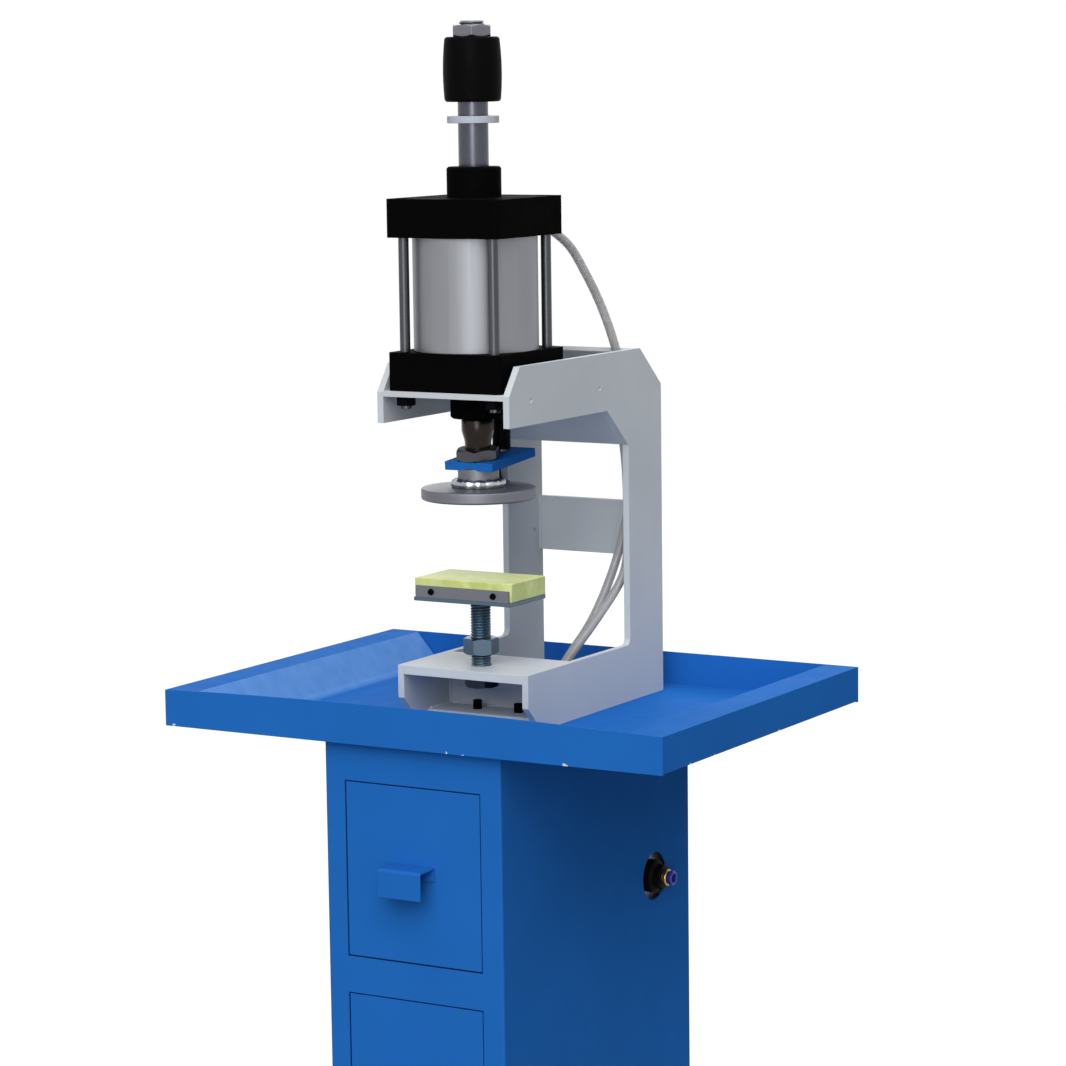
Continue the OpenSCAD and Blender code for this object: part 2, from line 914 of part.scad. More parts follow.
module hub() {
    color(c_steel) on_axis()
        rotate_extrude($fn = fine)
            polygon([[0, hub_z], [hub_r + 3.5, hub_z], [hub_r + 2.6, hub_z + 2.4], [hub_r, hub_z + 4],
                [hub_r, guide_z - 1], [hub_r - 1, guide_z], [screw_r, guide_z], [screw_r, hub_z + 3],
                [0, hub_z + 3]]);
}

module press_disc() {
    color(c_steel) on_axis()
        rotate_extrude($fn = 96)
            polygon([[0, disc_z], [disc_r - 2, disc_z], [disc_r - 0.6, disc_z + 0.6], [disc_r, disc_z + 2],
                [disc_r, hub_z - 1], [disc_r - 1, hub_z], [0, hub_z]]);
}

module stop_collar() {
    top = collar_z + collar_h;
    color(c_black) on_axis()
        rotate_extrude($fn = 96)
            polygon([[rod_r + 0.3, collar_z], [collar_r - 1.5, collar_z], [collar_r, collar_z + 1.5],
                [collar_r, top - 1.5], [collar_r - 1.5, top], [stud_r + run, top],
                [stud_r + run, top - thread_h], [rod_r + 0.3, top - thread_h]]);
}

module stop_nut() {
    color(c_dark) on_axis()
        translate([0, 0, collar_z + collar_h])
            difference() {
                rotate([0, 0, 1])
                    hex_solid(32, nut_h);
                translate([0, 0, -1])
                    cylinder(h = nut_h + 2, r = stud_r + run, $fn = fine);
            }
}

module bump_ring() {
    color(c_white) on_axis()
        translate([0, 0, ring_z])
            ring(ring_r, rod_r + run, ring_h);
}

// ---- anvil ----

module pad() {
    color(c_pad) on_axis()
        translate([-pad_w / 2, -pad_d / 2, pad_z - pad_t])
            cube([pad_w, pad_d, pad_t]);
}

module pad_strip() {
    color(c_steel) on_axis()
        difference() {
            translate([-pad_w / 2 + 2, -pad_d / 2 - strip_t, pad_z - pad_t])
                cube([pad_w - 4, strip_t, strip_h]);
            at_strip()
                cylinder(h = strip_t + 2, r = 2, $fn = 32);
        }
}

module at_strip() {
    for (sx = [-1, 1])
        translate([sx * pad_w * 0.32, -pad_d / 2 + 1, pad_z - pad_t + strip_h / 2])
            rotate([90, 0, 0])
                children();
}

module strip_screws() {
    color(c_black) on_axis()
        at_strip()
            union() {
                translate([0, 0, 1])
                    cylinder(h = strip_t + 0.5, r = 2, $fn = 32);
                translate([0, 0, strip_t + 1])
                    difference() {
                        cylinder(h = 2, r1 = 3, r2 = 2.2, $fn = 32);
                        translate([0, 0, 1])
                            cylinder(h = 2, r = 1.2, $fn = 6);
                    }
            }
}

module anvil_post() {
    color(c_zinc) on_axis()
        union() {
            translate([-pad_w / 2, -pad_d / 2 - strip_t, sole_z])
                cube([pad_w, pad_d + strip_t, sole_t]);
            rotate_extrude($fn = fine)
                polygon([[0, post_low], [post_r - 1.5, post_low], [post_r, post_low + 1.5],
                    [post_r, sole_z + nil], [0, sole_z + nil]]);
        }
}

module lock_nut() {
    color(c_zinc) on_axis()
        translate([0, 0, lock_z])
            difference() {
                rotate([0, 0, 36])
                    hex_solid(27, lock_h);
                translate([0, 0, -1])
                    cylinder(h = lock_h + 2, r = post_r + run, $fn = fine);
            }
}

// ---- air line ----

function unit(v) = v / norm(v);
function part_of(v, low, high) = min(1, max(0, (v - low) / (high - low)));
// a route height above the tray floor, for a tube whose first point is at its port
function lifted(h, first, port) = h > frame_up
    ? top_z + (h - frame_up) * (port - top_z) / (first - frame_up)
    : floor_z + h * (first > frame_up ? (top_z - floor_z) / frame_up : (port - floor_z) / first);
// route point moved with the frame, the cap and the valve
function fitted(p, first, port) = p[2] > 0
    ? [p[0] * (1 + (side_k - 1) * part_of(p[2], 20, 100)),
        p[1] + back_y * part_of(p[1], 104, 150) + (p[1] <= 82 ? cap_y : 0),
        lifted(p[2], first, port)]
    : [p[0], p[1], floor_z + p[2] * drop_k];
function heading(p, i) = unit(p[min(i + 1, len(p) - 1)] - p[max(i - 1, 0)]);
function side_of(t) = unit(cross(t, [1, 0, 0]));
function tube_points(p) = [for (i = [0 : len(p) - 1])
    let (t = heading(p, i), u = side_of(t), v = cross(t, u))
    for (k = [0 : sides - 1])
        p[i] + tube_r * cos(k * 360 / sides) * u + tube_r * sin(k * 360 / sides) * v];
function tube_faces(n) = concat(
    [[for (k = [0 : sides - 1]) k]],
    [for (i = [0 : n - 2]) for (k = [0 : sides - 1])
        let (a = i * sides + k, b = i * sides + (k + 1) % sides)
        [a, a + sides, b + sides]],
    [for (i = [0 : n - 2]) for (k = [0 : sides - 1])
        let (a = i * sides + k, b = i * sides + (k + 1) % sides)
        [a, b + sides, b]],
    [[for (k = [sides - 1 : -1 : 0]) (n - 1) * sides + k]]);

module air_tube(route, port) {
    p = [for (q = route) fitted(q, route[0][2], port)];
    polyhedron(points = tube_points(p), faces = tube_faces(len(p)), convexity = 4);
}

module air_tube_a() {
    color(c_clear) on_axis()
        air_tube(route_a, head_z + cap_h / 2);
}

module air_tube_b() {
    color(c_clear) on_axis()
        air_tube(route_b, barrel_z - cap_h / 2);
}

module valve_bracket() {
    wall_x = cab_w / 2 - cab_t;
    low = port_z - valve_h / 2;
    color(c_zinc) on_axis()
        union() {
            translate([valve_x - valve_w / 2 - 6, port_y - valve_d / 2 - 4, low - 2])
                cube([wall_x - valve_x + valve_w / 2 + 6, valve_d + 8, 2]);
            translate([wall_x - 2, port_y - valve_d / 2 - 4, low - 28])
                cube([2, valve_d + 8, 27]);
        }
}

module valve_body() {
    color(c_alu) on_axis()
        difference() {
            translate([valve_x - valve_w / 2, port_y - valve_d / 2, port_z - valve_h / 2])
                cube([valve_w, valve_d, valve_h]);
            for (y = [-14, 14])
                translate([valve_x, port_y + y, port_z + valve_h / 2 - 12])
                    cylinder(h = 13, r = 6, $fn = 32);
            for (y = [-14, 14])
                translate([valve_x - valve_w / 2 - 1, port_y + y, port_z - 6])
                    rotate([0, 90, 0])
                        cylinder(h = 9, r = 5, $fn = 32);
        }
}

module valve_coil() {
    coil_y = port_y + valve_d / 2;
    color(c_black) on_axis()
        translate([valve_x - 13, coil_y, port_z - 15])
            cube([26, 28, 30]);
}

module valve_fittings() {
    color(c_black) on_axis()
        for (y = [-14, 14])
            translate([valve_x, port_y + y, port_z + valve_h / 2])
                push_fitting(6);
}

module silencers() {
    color(c_brass) on_axis()
        for (y = [-14, 14])
            translate([valve_x - valve_w / 2 + 8, port_y + y, port_z - 6])
                rotate([0, -90, 0])
                    rotate_extrude($fn = 32)
                        polygon([[0, 0], [5, 0], [5, 8], [7, 8], [7, 11],
                            [5.5, 12], [5.5, 24], [4, 26], [0, 26]]);
}

// body of the air inlet, standing out through the side hole
module inlet_union() {
    x0 = valve_x + valve_w / 2;
    neck = cab_w / 2 + 2 - x0;
    color(c_black) on_axis()
        translate([x0, port_y, port_z])
            rotate([0, 90, 0])
                difference() {
                    union() {
                        cylinder(h = neck, r = 15, $fn = fine);
                        translate([0, 0, neck - nil])
                            cylinder(h = 2.5, r1 = 15, r2 = 12.5, $fn = fine);
                        translate([0, 0, neck])
                            hex_solid(20, inlet_out - 2);
                    }
                    translate([0, 0, neck - 6])
                        cylinder(h = inlet_out + 8, r = 6, $fn = 48);
                }
}

// outer face of the inlet body
inlet_x = cab_w / 2 + inlet_out;

module inlet_collar() {
    color(c_brass) on_axis()
        translate([inlet_x, port_y, port_z])
            rotate([0, 90, 0])
                rotate_extrude($fn = 48)
                    polygon([[4.9, -10], [6, -10], [6, 0], [7.6, 0], [7.6, 4], [6.8, 5], [4.9, 5]]);
}

module inlet_ring() {
    color(c_blue) on_axis()
        translate([inlet_x + 5, port_y, port_z])
            rotate([0, 90, 0])
                rotate_extrude($fn = 48)
                    polygon([[4.1, -9], [4.85, -9], [4.85, 1.2], [6.6, 1.2],
                        [6.6, 4.2], [6, 4.8], [4.1, 4.8]]);
}

cabinet_shell();
cabinet_sides();
cabinet_top();
cabinet_back();
back_screws();
drawer_runners();
feet();
tray();
tube_grommet();
side_plate_left();
side_plate_right();
base_plate();
foot_web();
foot_flanges();
frame_screws();
base_nut();
cylinder_plate();
throat_plate();
rear_top_plate();
back_brace();
guide_sleeve();
cap_lower();
cap_upper();
barrel();
tie_rods();
tie_nuts_lower();
tie_nuts_upper();
rod_bushes();
rod_wipers();
port_fittings();
air_tube_a();
air_tube_b();
valve_bracket();
valve_body();
valve_coil();
valve_fittings();
silencers();
inlet_union();
inlet_collar();
inlet_ring();
piston();
piston_seals();
piston_rod();
ram_nut();
guide_plate();
guide_rod();
hub();
press_disc();
stop_collar();
stop_nut();
bump_ring();
pad();
pad_strip();
strip_screws();
anvil_post();
lock_nut();
drawer_upper();
handle_upper();
drawer_lower();
handle_lower();
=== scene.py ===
import json
import math

import bmesh
import bpy
from bpy.props import FloatProperty, FloatVectorProperty, PointerProperty
from bpy.types import Operator, Panel, PropertyGroup
from mathutils import Matrix, Vector

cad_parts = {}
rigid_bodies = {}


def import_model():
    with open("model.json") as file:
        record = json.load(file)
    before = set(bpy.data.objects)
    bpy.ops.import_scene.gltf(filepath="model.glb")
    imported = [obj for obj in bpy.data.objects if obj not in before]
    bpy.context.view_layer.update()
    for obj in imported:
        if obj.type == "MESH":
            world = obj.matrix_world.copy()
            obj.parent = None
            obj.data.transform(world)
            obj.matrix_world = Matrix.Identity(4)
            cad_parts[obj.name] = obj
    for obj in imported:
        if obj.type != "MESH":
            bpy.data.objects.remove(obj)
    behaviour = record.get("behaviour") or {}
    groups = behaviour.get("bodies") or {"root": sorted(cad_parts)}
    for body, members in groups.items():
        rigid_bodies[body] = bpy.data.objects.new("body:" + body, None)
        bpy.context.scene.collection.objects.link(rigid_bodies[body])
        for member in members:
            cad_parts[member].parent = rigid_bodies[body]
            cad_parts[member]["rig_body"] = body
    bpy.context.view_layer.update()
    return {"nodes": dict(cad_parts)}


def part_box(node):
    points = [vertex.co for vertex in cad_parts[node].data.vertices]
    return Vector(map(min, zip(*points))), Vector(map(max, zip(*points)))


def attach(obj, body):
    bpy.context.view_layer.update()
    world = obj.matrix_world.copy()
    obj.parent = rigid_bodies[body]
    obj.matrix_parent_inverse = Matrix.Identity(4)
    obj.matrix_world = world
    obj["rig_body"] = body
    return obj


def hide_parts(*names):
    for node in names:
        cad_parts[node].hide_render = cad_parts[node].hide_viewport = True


bl_info = {
    "name": "Leather Punching Machine",
    "version": (1, 0, 0),
    "blender": (4, 5, 0),
    "location": "3D View > Sidebar > Punching Machine",
    "description": "Finishes an air-driven leather punching machine on its drawer cabinet",
    "category": "Object",
}

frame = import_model()
NODES = frame["nodes"]


def middle(node):
    """Centre of a CAD node's box."""
    low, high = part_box(node)
    return (low + high) / 2


# The ram, the cylinder and the anvil stand on one vertical line.
RAM = middle("press_disc")
# The tray's sheet, and the width of the lips along its sides.
TRAY_SHEET, TRAY_RIM = 0.002, 0.032


def linear(code):
    """Linear colour of an sRGB hex code."""
    parts = [int(code[i : i + 2], 16) / 255 for i in (1, 3, 5)]
    return [c / 12.92 if c <= 0.04045 else ((c + 0.055) / 1.055) ** 2.4 for c in parts]


# ---- sizes and colours a user would change ----


def size(label, text, default):
    """Length property in metres."""
    return FloatProperty(
        name=label, description=text, default=default, min=0, unit="LENGTH", precision=4
    )


def tint(label, text, code):
    """Colour property from an sRGB hex code."""
    return FloatVectorProperty(
        name=label, description=text, default=linear(code), size=3, min=0, max=1, subtype="COLOR"
    )


class PressSizes(PropertyGroup):
    fold: size("Fold radius", "Outside radius of the cabinet's folded corners", 0.0024)
    rim_fold: size("Rim radius", "Rounding along the tray's rim", 0.0016)
    plate_edge: size("Plate edge", "Rounding of cut steel plate under its paint", 0.0006)
    sheet_edge: size("Sheet edge", "Rounding of cut sheet under its paint", 0.0003)
    block_edge: size("Block edge", "Edge break on the end caps and the collar", 0.0008)
    turned_edge: size("Turned edge", "Edge break on turned and hexagon parts", 0.0004)
    rod_pitch: size("Rod thread pitch", "Pitch of the two threads on the piston rod", 0.0025)
    post_pitch: size("Post thread pitch", "Pitch of the anvil post's thread", 0.0025)
    slope: size("Tray slope", "How far the tray's side walls lean in at the floor", 0.026)
    tray_bend: size("Tray bend", "Size of the soft bend between side wall and floor", 0.009)
    lean: FloatProperty(
        name="Plate lean", default=math.radians(5), subtype="ANGLE",
        description="How far the guide plate and its nut lean up towards the back",
    )
    tube_wall: size("Tube wall", "Wall thickness of the air tubes", 0.00125)
    ripple: size("Weld ripple", "Distance between the ripples of the frame's welds", 0.0032)


class PressColours(PropertyGroup):
    blue: tint("Blue enamel", "Cabinet, drawers, tray and guide plate", "#2064B3")
    # pale tone painted on the tray's sloping side walls as a painted reflection, not a film on the enamel
    painted_wall_reflection: tint("Painted wall reflection", "Pale tone painted on the tray's side walls as reflection", "#6698DA")
    grey: tint("Grey enamel", "The C frame", "#BFC5CA")
    black: tint("Black", "End caps, collar, sleeve, screws and fittings", "#070707")
    steel: tint("Bright steel", "Hub, disc, pad strip, stop nut and rod threads", "#707278")
    # on the base nut this darker steel also serves as painted shade under the base plate
    dark: tint("Dark steel", "Tie rods, ram nut and base nut", "#4C4E52")
    zinc: tint("Zinc plate", "Anvil post, lock nut, upper nuts, runners and bracket", "#50687A")
    rod: tint("Ground steel", "Piston rod and guide rod", "#53555D")
    browned: tint("Browned steel", "Shoulder of the rod above the ram's nut", "#2C2825")
    weld: tint("Bare weld", "Weld round the hub", "#9EA2A8")
    aluminium: tint("Aluminium", "Barrel, piston and valve", "#87898E")
    brass: tint("Brass", "Inlet collar, silencers and rod bushes", "#B08C46")
    pad: tint("Pad", "Cast polyurethane pad", "#B9C573")
    pad_vein: tint("Pad veins", "Paler clouds in the pad", "#D3DC9C")
    nylon: tint("Nylon", "Bump ring", "#AEB4C0")
    release: tint("Release ring", "Ring of the air inlet", "#23309A")
    rubber: tint("Rubber", "Feet, grommet, wipers and seals", "#0D0D0D")


class PressStage(PropertyGroup):
    place: FloatVectorProperty(
        name="Camera place", description="Where the camera stands",
        default=(1.57272, -2.63525, 1.25944), size=3, subtype="TRANSLATION", unit="LENGTH",
    )
    turn: FloatProperty(
        name="Azimuth", description="Camera's angle round the machine from the front",
        default=0.528132626, subtype="ANGLE",
    )
    rise: FloatProperty(
        name="Elevation", description="How far the camera looks down",
        default=0.139383897, subtype="ANGLE",
    )
    roll: FloatProperty(
        name="Roll", description="Camera's turn about its own axis",
        default=-0.0126524, subtype="ANGLE",
    )
    lens: FloatProperty(name="Lens", description="Focal length in mm on a 36 mm sensor", default=118.53)
    shift: FloatVectorProperty(
        name="Shift", description="Lens shift right and up", default=(-0.01098, 0.02273), size=2
    )
    sky: FloatProperty(name="Sky", description="Level of the even light from all round", default=0.2)
    sun: FloatProperty(
        name="Main lamp", description="Strength of the lamp high at front right", default=2.26
    )
    top: FloatProperty(name="Top lamp", description="Strength of the lamp overhead", default=1.3)
    edge: FloatProperty(
        name="Edge lamp", description="Strength of the low lamp at front right", default=0.7
    )
    fill: FloatProperty(name="Fill lamp", description="Strength of the lamp behind", default=1.0)


# ---- materials ----


MATH, RANGE, NOISE = "ShaderNodeMath", "ShaderNodeMapRange", "ShaderNodeTexNoise"
# most of a noise lies between these two levels
MOST = {"From Min": 0.3, "From Max": 0.7}


def add(tree, kind, inputs=(), **settings):
    """A node with its settings. Its inputs, by name or in order, are values, sockets that feed
    them, or nodes that feed them by their first output."""
    node = tree.nodes.new(kind)
    for name, value in settings.items():
        setattr(node, name, value)
    for name, value in inputs.items() if isinstance(inputs, dict) else enumerate(inputs):
        if isinstance(value, bpy.types.Node):
            value = value.outputs[0]
        if isinstance(value, bpy.types.NodeSocket):
            tree.links.new(value, node.inputs[name])
        else:
            node.inputs[name].default_value = value
    return node


def material(name, colour, roughness, metallic=0.0, **sockets):
    """A new material: its node tree, its shader and its Object coordinates."""
    made = bpy.data.materials.new(name)
    made.use_nodes = True
    made.diffuse_color = (*colour, 1)
    tree = made.node_tree
    tree.nodes.clear()
    values = {"Base Color": (*colour, 1), "Roughness": roughness, "Metallic": metallic, **sockets}
    shader = add(tree, "ShaderNodeBsdfPrincipled", values)
    add(tree, "ShaderNodeOutputMaterial", {"Surface": shader})
    place = add(tree, "ShaderNodeTexCoord").outputs["Object"]
    return made, tree, shader, place


def patterned(tree, shader, pattern, tones=(), sheen=(), depth=0.0):
    """What a pattern does to a surface: it makes the base colour darker and lighter by tones, takes
    the roughness from one end of sheen to the other, and gives a relief of a depth in metres."""
    if tones:
        level = add(tree, RANGE, {"Value": pattern, **MOST, "To Min": tones[0], "To Max": tones[1]})
        colour = shader.inputs["Base Color"].default_value
        shade = add(tree, "ShaderNodeHueSaturation", {"Color": colour, "Value": level})
        tree.links.new(shade.outputs[0], shader.inputs["Base Color"])
    if sheen:
        level = add(tree, RANGE, {"Value": pattern, **MOST, "To Min": sheen[0], "To Max": sheen[1]})
        tree.links.new(level.outputs[0], shader.inputs["Roughness"])
    if depth:
        bump = add(tree, "ShaderNodeBump", {"Strength": 1.0, "Distance": depth, "Height": pattern})
        tree.links.new(bump.outputs[0], shader.inputs["Normal"])


def clouded(tree, shader, first, second, pattern, start, end):
    """Base colour in two tones; the second comes in as the pattern goes from start to end."""
    share = add(tree, RANGE, {"Value": pattern, "From Min": start, "From Max": end})
    tones = {0: share, 6: (*first, 1), 7: (*second, 1)}
    mixed = add(tree, "ShaderNodeMix", tones, data_type="RGBA")
    tree.links.new(mixed.outputs[2], shader.inputs["Base Color"])


def sprayed_enamel(name, colour, roughness, gloss):
    """Enamel sprayed on steel: even colour, soft gloss and a fine orange peel."""
    made, tree, shader, place = material(name, colour, roughness, **{"Specular IOR Level": gloss})
    # the coat is a touch thicker in clouds about 80 mm across
    clouds = add(tree, NOISE, {"Vector": place, "Scale": 12, "Detail": 3})
    patterned(tree, shader, clouds, tones=(0.965, 1.035))
    patches = add(tree, NOISE, {"Vector": place, "Scale": 55, "Detail": 3})
    patterned(tree, shader, patches, sheen=(roughness - 0.05, roughness + 0.06))
    # orange peel, really 1.5 mm across, drawn at 2.5 mm so that it shows
    peel = add(tree, NOISE, {"Vector": place, "Scale": 400, "Detail": 1})
    patterned(tree, shader, peel, depth=0.00005)
    return made


def chipped_with_painted_reflection(made, bare, painted_wall_reflection, slope):
    """The tray's enamel: chipped to pale primer in flecks of 1 to 3 mm along the outer lower edge,
    and lightened on the sloping side walls by a pale tone in patches, which is a painted reflection."""
    tree = made.node_tree
    shader = next(n for n in tree.nodes if n.type == "BSDF_PRINCIPLED")
    paint = shader.inputs["Base Color"].links[0].from_socket
    place = add(tree, "ShaderNodeTexCoord").outputs["Object"]
    parts = add(tree, "ShaderNodeSeparateXYZ", [place]).outputs
    low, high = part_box("tray")
    # depth of the outer face, room for the walls at front and back, top of the chips
    outside, end_wall, chips_up_to = 0.0008, 0.0062, low.z + 0.0022
    across = add(tree, MATH, [parts["X"]], operation="ABSOLUTE")
    side = add(tree, MATH, [across, high.x - outside], operation="GREATER_THAN")
    front = add(tree, MATH, [parts["Y"], low.y + outside], operation="LESS_THAN")
    chips = add(tree, MATH, [side, front], operation="MAXIMUM")
    flecks = add(tree, NOISE, {"Vector": place, "Scale": 75, "Detail": 3})
    # the painted reflection on both side walls comes in over the soft bend at their foot
    wall = high.x - TRAY_RIM
    start, end = wall - slope - 0.004, wall - slope + 0.003
    painted_reflection_band = add(tree, RANGE, {"Value": across, "From Min": start, "From Max": end})
    off_middle = add(tree, MATH, [parts["Y"], (low.y + high.y) / 2], operation="SUBTRACT")
    along = add(tree, MATH, [off_middle], operation="ABSOLUTE")
    # cloudy in patches about 15 mm across
    patches = add(tree, NOISE, {"Vector": place, "Scale": 60, "Detail": 3})
    cloud = add(tree, RANGE, {"Value": patches, **MOST, "To Min": 0.72, "To Max": 0.95})
    painted_reflection_band = add(tree, MATH, [painted_reflection_band, cloud], operation="MULTIPLY")
    # chips only at the foot, and only where the flecks are
    for value, limit, test in (
        (parts["Z"], chips_up_to, "LESS_THAN"),
        (flecks, 0.665, "GREATER_THAN"),
    ):
        within = add(tree, MATH, [value, limit], operation=test)
        chips = add(tree, MATH, [chips, within], operation="MULTIPLY")
    # the painted reflection stops at the lip, above the chips and short of the walls at front and back
    for value, limit, test in (
        (across, wall + 0.0002, "LESS_THAN"),
        (parts["Z"], chips_up_to, "GREATER_THAN"),
        (along, (high.y - low.y) / 2 - end_wall, "LESS_THAN"),
    ):
        within = add(tree, MATH, [value, limit], operation=test)
        painted_reflection_band = add(tree, MATH, [painted_reflection_band, within], operation="MULTIPLY")
    # the chips are real wear; the second tone is the pale painted reflection on the side walls
    for factor, tone in ((chips, bare), (painted_reflection_band, painted_wall_reflection)):
        mixed = add(tree, "ShaderNodeMix", {0: factor, 6: paint, 7: (*tone, 1)}, data_type="RGBA")
        paint = mixed.outputs[2]
    tree.links.new(paint, shader.inputs["Base Color"])
    return made


def turned_metal(name, colour, roughness, pitch=0.0012):
    """Steel or brass off the lathe: fine rings round the ram's axis on faces, lines round the walls."""
    made, tree, shader, place = material(name, colour, roughness, 1.0)
    centred = add(tree, "ShaderNodeMapping", {"Location": (-RAM.x, -RAM.y, 0), "Vector": place})
    parts = add(tree, "ShaderNodeSeparateXYZ", [centred]).outputs
    flat = add(tree, "ShaderNodeCombineXYZ", {"X": parts["X"], "Y": parts["Y"]})
    radius = add(tree, "ShaderNodeVectorMath", [flat], operation="LENGTH").outputs["Value"]
    # tool marks, really 0.1 mm apart, drawn about 1 mm apart
    lines = add(tree, "ShaderNodeCombineXYZ", {"X": radius, "Y": parts["Z"]})
    marks = add(tree, NOISE, {"Vector": lines, "Scale": 1 / pitch, "Detail": 3, "Roughness": 0.7})
    sheen = (roughness - 0.08, roughness + 0.1)
    patterned(tree, shader, marks, tones=(0.88, 1.1), sheen=sheen, depth=0.00002)
    return made


def ground_metal(name, colour, roughness, along, metallic=1.0, **sockets):
    """Metal ground, drawn or extruded along Z: faint straight streaks up its length."""
    made, tree, shader, place = material(name, colour, roughness, metallic, **sockets)
    drawn = add(tree, "ShaderNodeMapping", {"Scale": (1, 1, along), "Vector": place})
    streaks = add(tree, NOISE, {"Vector": drawn, "Scale": 300, "Detail": 2})
    sheen = (roughness - 0.04, roughness + 0.05)
    patterned(tree, shader, streaks, tones=(0.96, 1.04), sheen=sheen, depth=0.000008)
    return made


def plated_metal(name, colour, warm, roughness):
    """Zinc plate or bare weld: bright and cloudy, with a second tone in patches about 8 mm across."""
    made, tree, shader, place = material(name, colour, roughness, 1.0)
    clouds = add(tree, NOISE, {"Vector": place, "Scale": 120, "Detail": 3})
    clouded(tree, shader, colour, warm, clouds, 0.45, 0.75)
    patterned(tree, shader, clouds, sheen=(roughness - 0.06, roughness + 0.1))
    grain = add(tree, NOISE, {"Vector": place, "Scale": 700, "Detail": 2})
    patterned(tree, shader, grain, depth=0.00003)
    return made


def black_finish(name, colour, roughness, gloss, grit):
    """Black anodise, oxide or moulding: almost no colour, broad dull shine, fine grit."""
    made, tree, shader, place = material(name, colour, roughness, **{"Specular IOR Level": gloss})
    grain = add(tree, NOISE, {"Vector": place, "Scale": grit, "Detail": 3})
    patterned(tree, shader, grain, tones=(0.85, 1.2), depth=0.00001)
    patches = add(tree, NOISE, {"Vector": place, "Scale": 40, "Detail": 2})
    patterned(tree, shader, patches, sheen=(roughness - 0.08, roughness + 0.12))
    return made


def cast_pad(name, colour, vein):
    """Cast polyurethane: waxy, pale green, with milky clouds from the pour and a fine cut grain."""
    made, tree, shader, place = material(
        name, colour, 0.5, **{"Subsurface Weight": 0.15, "Subsurface Scale": 0.004}
    )
    clouds = add(tree, NOISE, {"Vector": place, "Scale": 70, "Detail": 4, "Roughness": 0.6})
    clouded(tree, shader, colour, vein, clouds, 0.4, 0.72)
    patterned(tree, shader, clouds, sheen=(0.4, 0.6))
    grain = add(tree, NOISE, {"Vector": place, "Scale": 350, "Detail": 3})
    patterned(tree, shader, grain, depth=0.00012)
    return made


def clear_tube(name):
    """Polyurethane air tube: milky clear, glossy, bright along its edges."""
    colour = linear("#C4C4C6")
    made, tree, shader, place = material(
        name, colour, 0.12, **{"Transmission Weight": 0.55, "IOR": 1.4}
    )
    bloom = add(tree, NOISE, {"Vector": place, "Scale": 160, "Detail": 2})
    patterned(tree, shader, bloom, tones=(0.94, 1.04), sheen=(0.08, 0.22))
    return made


def moulded(name, colour, roughness, gloss):
    """Nylon or acetal: even colour, satin, with the faint flow marks of moulding or turning."""
    made, tree, shader, place = material(name, colour, roughness, **{"Specular IOR Level": gloss})
    flow = add(tree, NOISE, {"Vector": place, "Scale": 90, "Detail": 2})
    sheen = (roughness - 0.06, roughness + 0.06)
    patterned(tree, shader, flow, tones=(0.97, 1.03), sheen=sheen)
    grain = add(tree, NOISE, {"Vector": place, "Scale": 900, "Detail": 2})
    patterned(tree, shader, grain, depth=0.00003)
    return made


def finishes(colours):
    """All materials, most by the name of the record's slot that they finish."""
    if FINISH:
        return
    FINISH["blue"] = sprayed_enamel("blue enamel on sheet steel", colours.blue, 0.5, 0.006)
    # chips along the foot are real wear; the pale tone on the side walls is painted reflection
    FINISH["tray_blue"] = chipped_with_painted_reflection(
        sprayed_enamel("worn blue enamel on the tray", colours.blue, 0.5, 0.006),
        linear("#C9CED2"), colours.painted_wall_reflection, bpy.context.scene.press_sizes.slope,
    )
    FINISH["grey"] = sprayed_enamel("grey enamel on steel plate", colours.grey, 0.5, 0.05)
    FINISH["black_metal"] = black_finish("black anodised aluminium", colours.black, 0.55, 0.004, 800)
    FINISH["black_oxide"] = black_finish("black oxide on turned steel", colours.black, 0.45, 0.02, 500)
    FINISH["black_plastic"] = black_finish("moulded black nylon", colours.black, 0.5, 0.05, 900)
    FINISH["rubber"] = black_finish("moulded black rubber", colours.rubber, 0.75, 0.05, 600)
    FINISH["zinc"] = plated_metal("zinc plated steel", colours.zinc, linear("#5F6262"), 0.34)
    FINISH["dark_steel"] = ground_metal("oiled drawn steel", colours.dark, 0.34, 0.05)
    FINISH["steel"] = turned_metal("turned bright steel", colours.steel, 0.5)
    FINISH["chrome"] = ground_metal("ground and chromed steel", colours.rod, 0.31, 0.03)
    FINISH["browned"] = ground_metal("oil-browned steel", colours.browned, 0.22, 0.05)
    FINISH["weld"] = plated_metal("bare weld metal", colours.weld, linear("#C9C9C6"), 0.22)
    # the anodised skin is satin and hides a little of the metal
    FINISH["aluminium"] = ground_metal(
        "satin anodised aluminium", colours.aluminium, 0.46, 0.02, 0.8, **{"Specular IOR Level": 0.05}
    )
    FINISH["brass"] = turned_metal("turned brass", colours.brass, 0.3)
    FINISH["pad"] = cast_pad("cast polyurethane", colours.pad, colours.pad_vein)
    FINISH["white_plastic"] = moulded("turned white nylon", colours.nylon, 0.5, 0.1)
    FINISH["blue_plastic"] = moulded("moulded blue acetal", colours.release, 0.35, 0.3)
    FINISH["tube"] = clear_tube("clear polyurethane tube")


FINISH = {}


# ---- making pieces ----


def body_of(node):
    """Name of the CAD body that a node belongs to."""
    return NODES[node]["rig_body"]


def piece(name, mesh, body, finish, replaces=()):
    """A finished object with its material, riding on a body."""
    made = bpy.data.objects.new(name, mesh)
    bpy.context.scene.collection.objects.link(made)
    mesh.materials.clear()
    mesh.materials.append(FINISH[finish])
    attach(made, body)
    if replaces:
        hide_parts(*replaces)
    return made


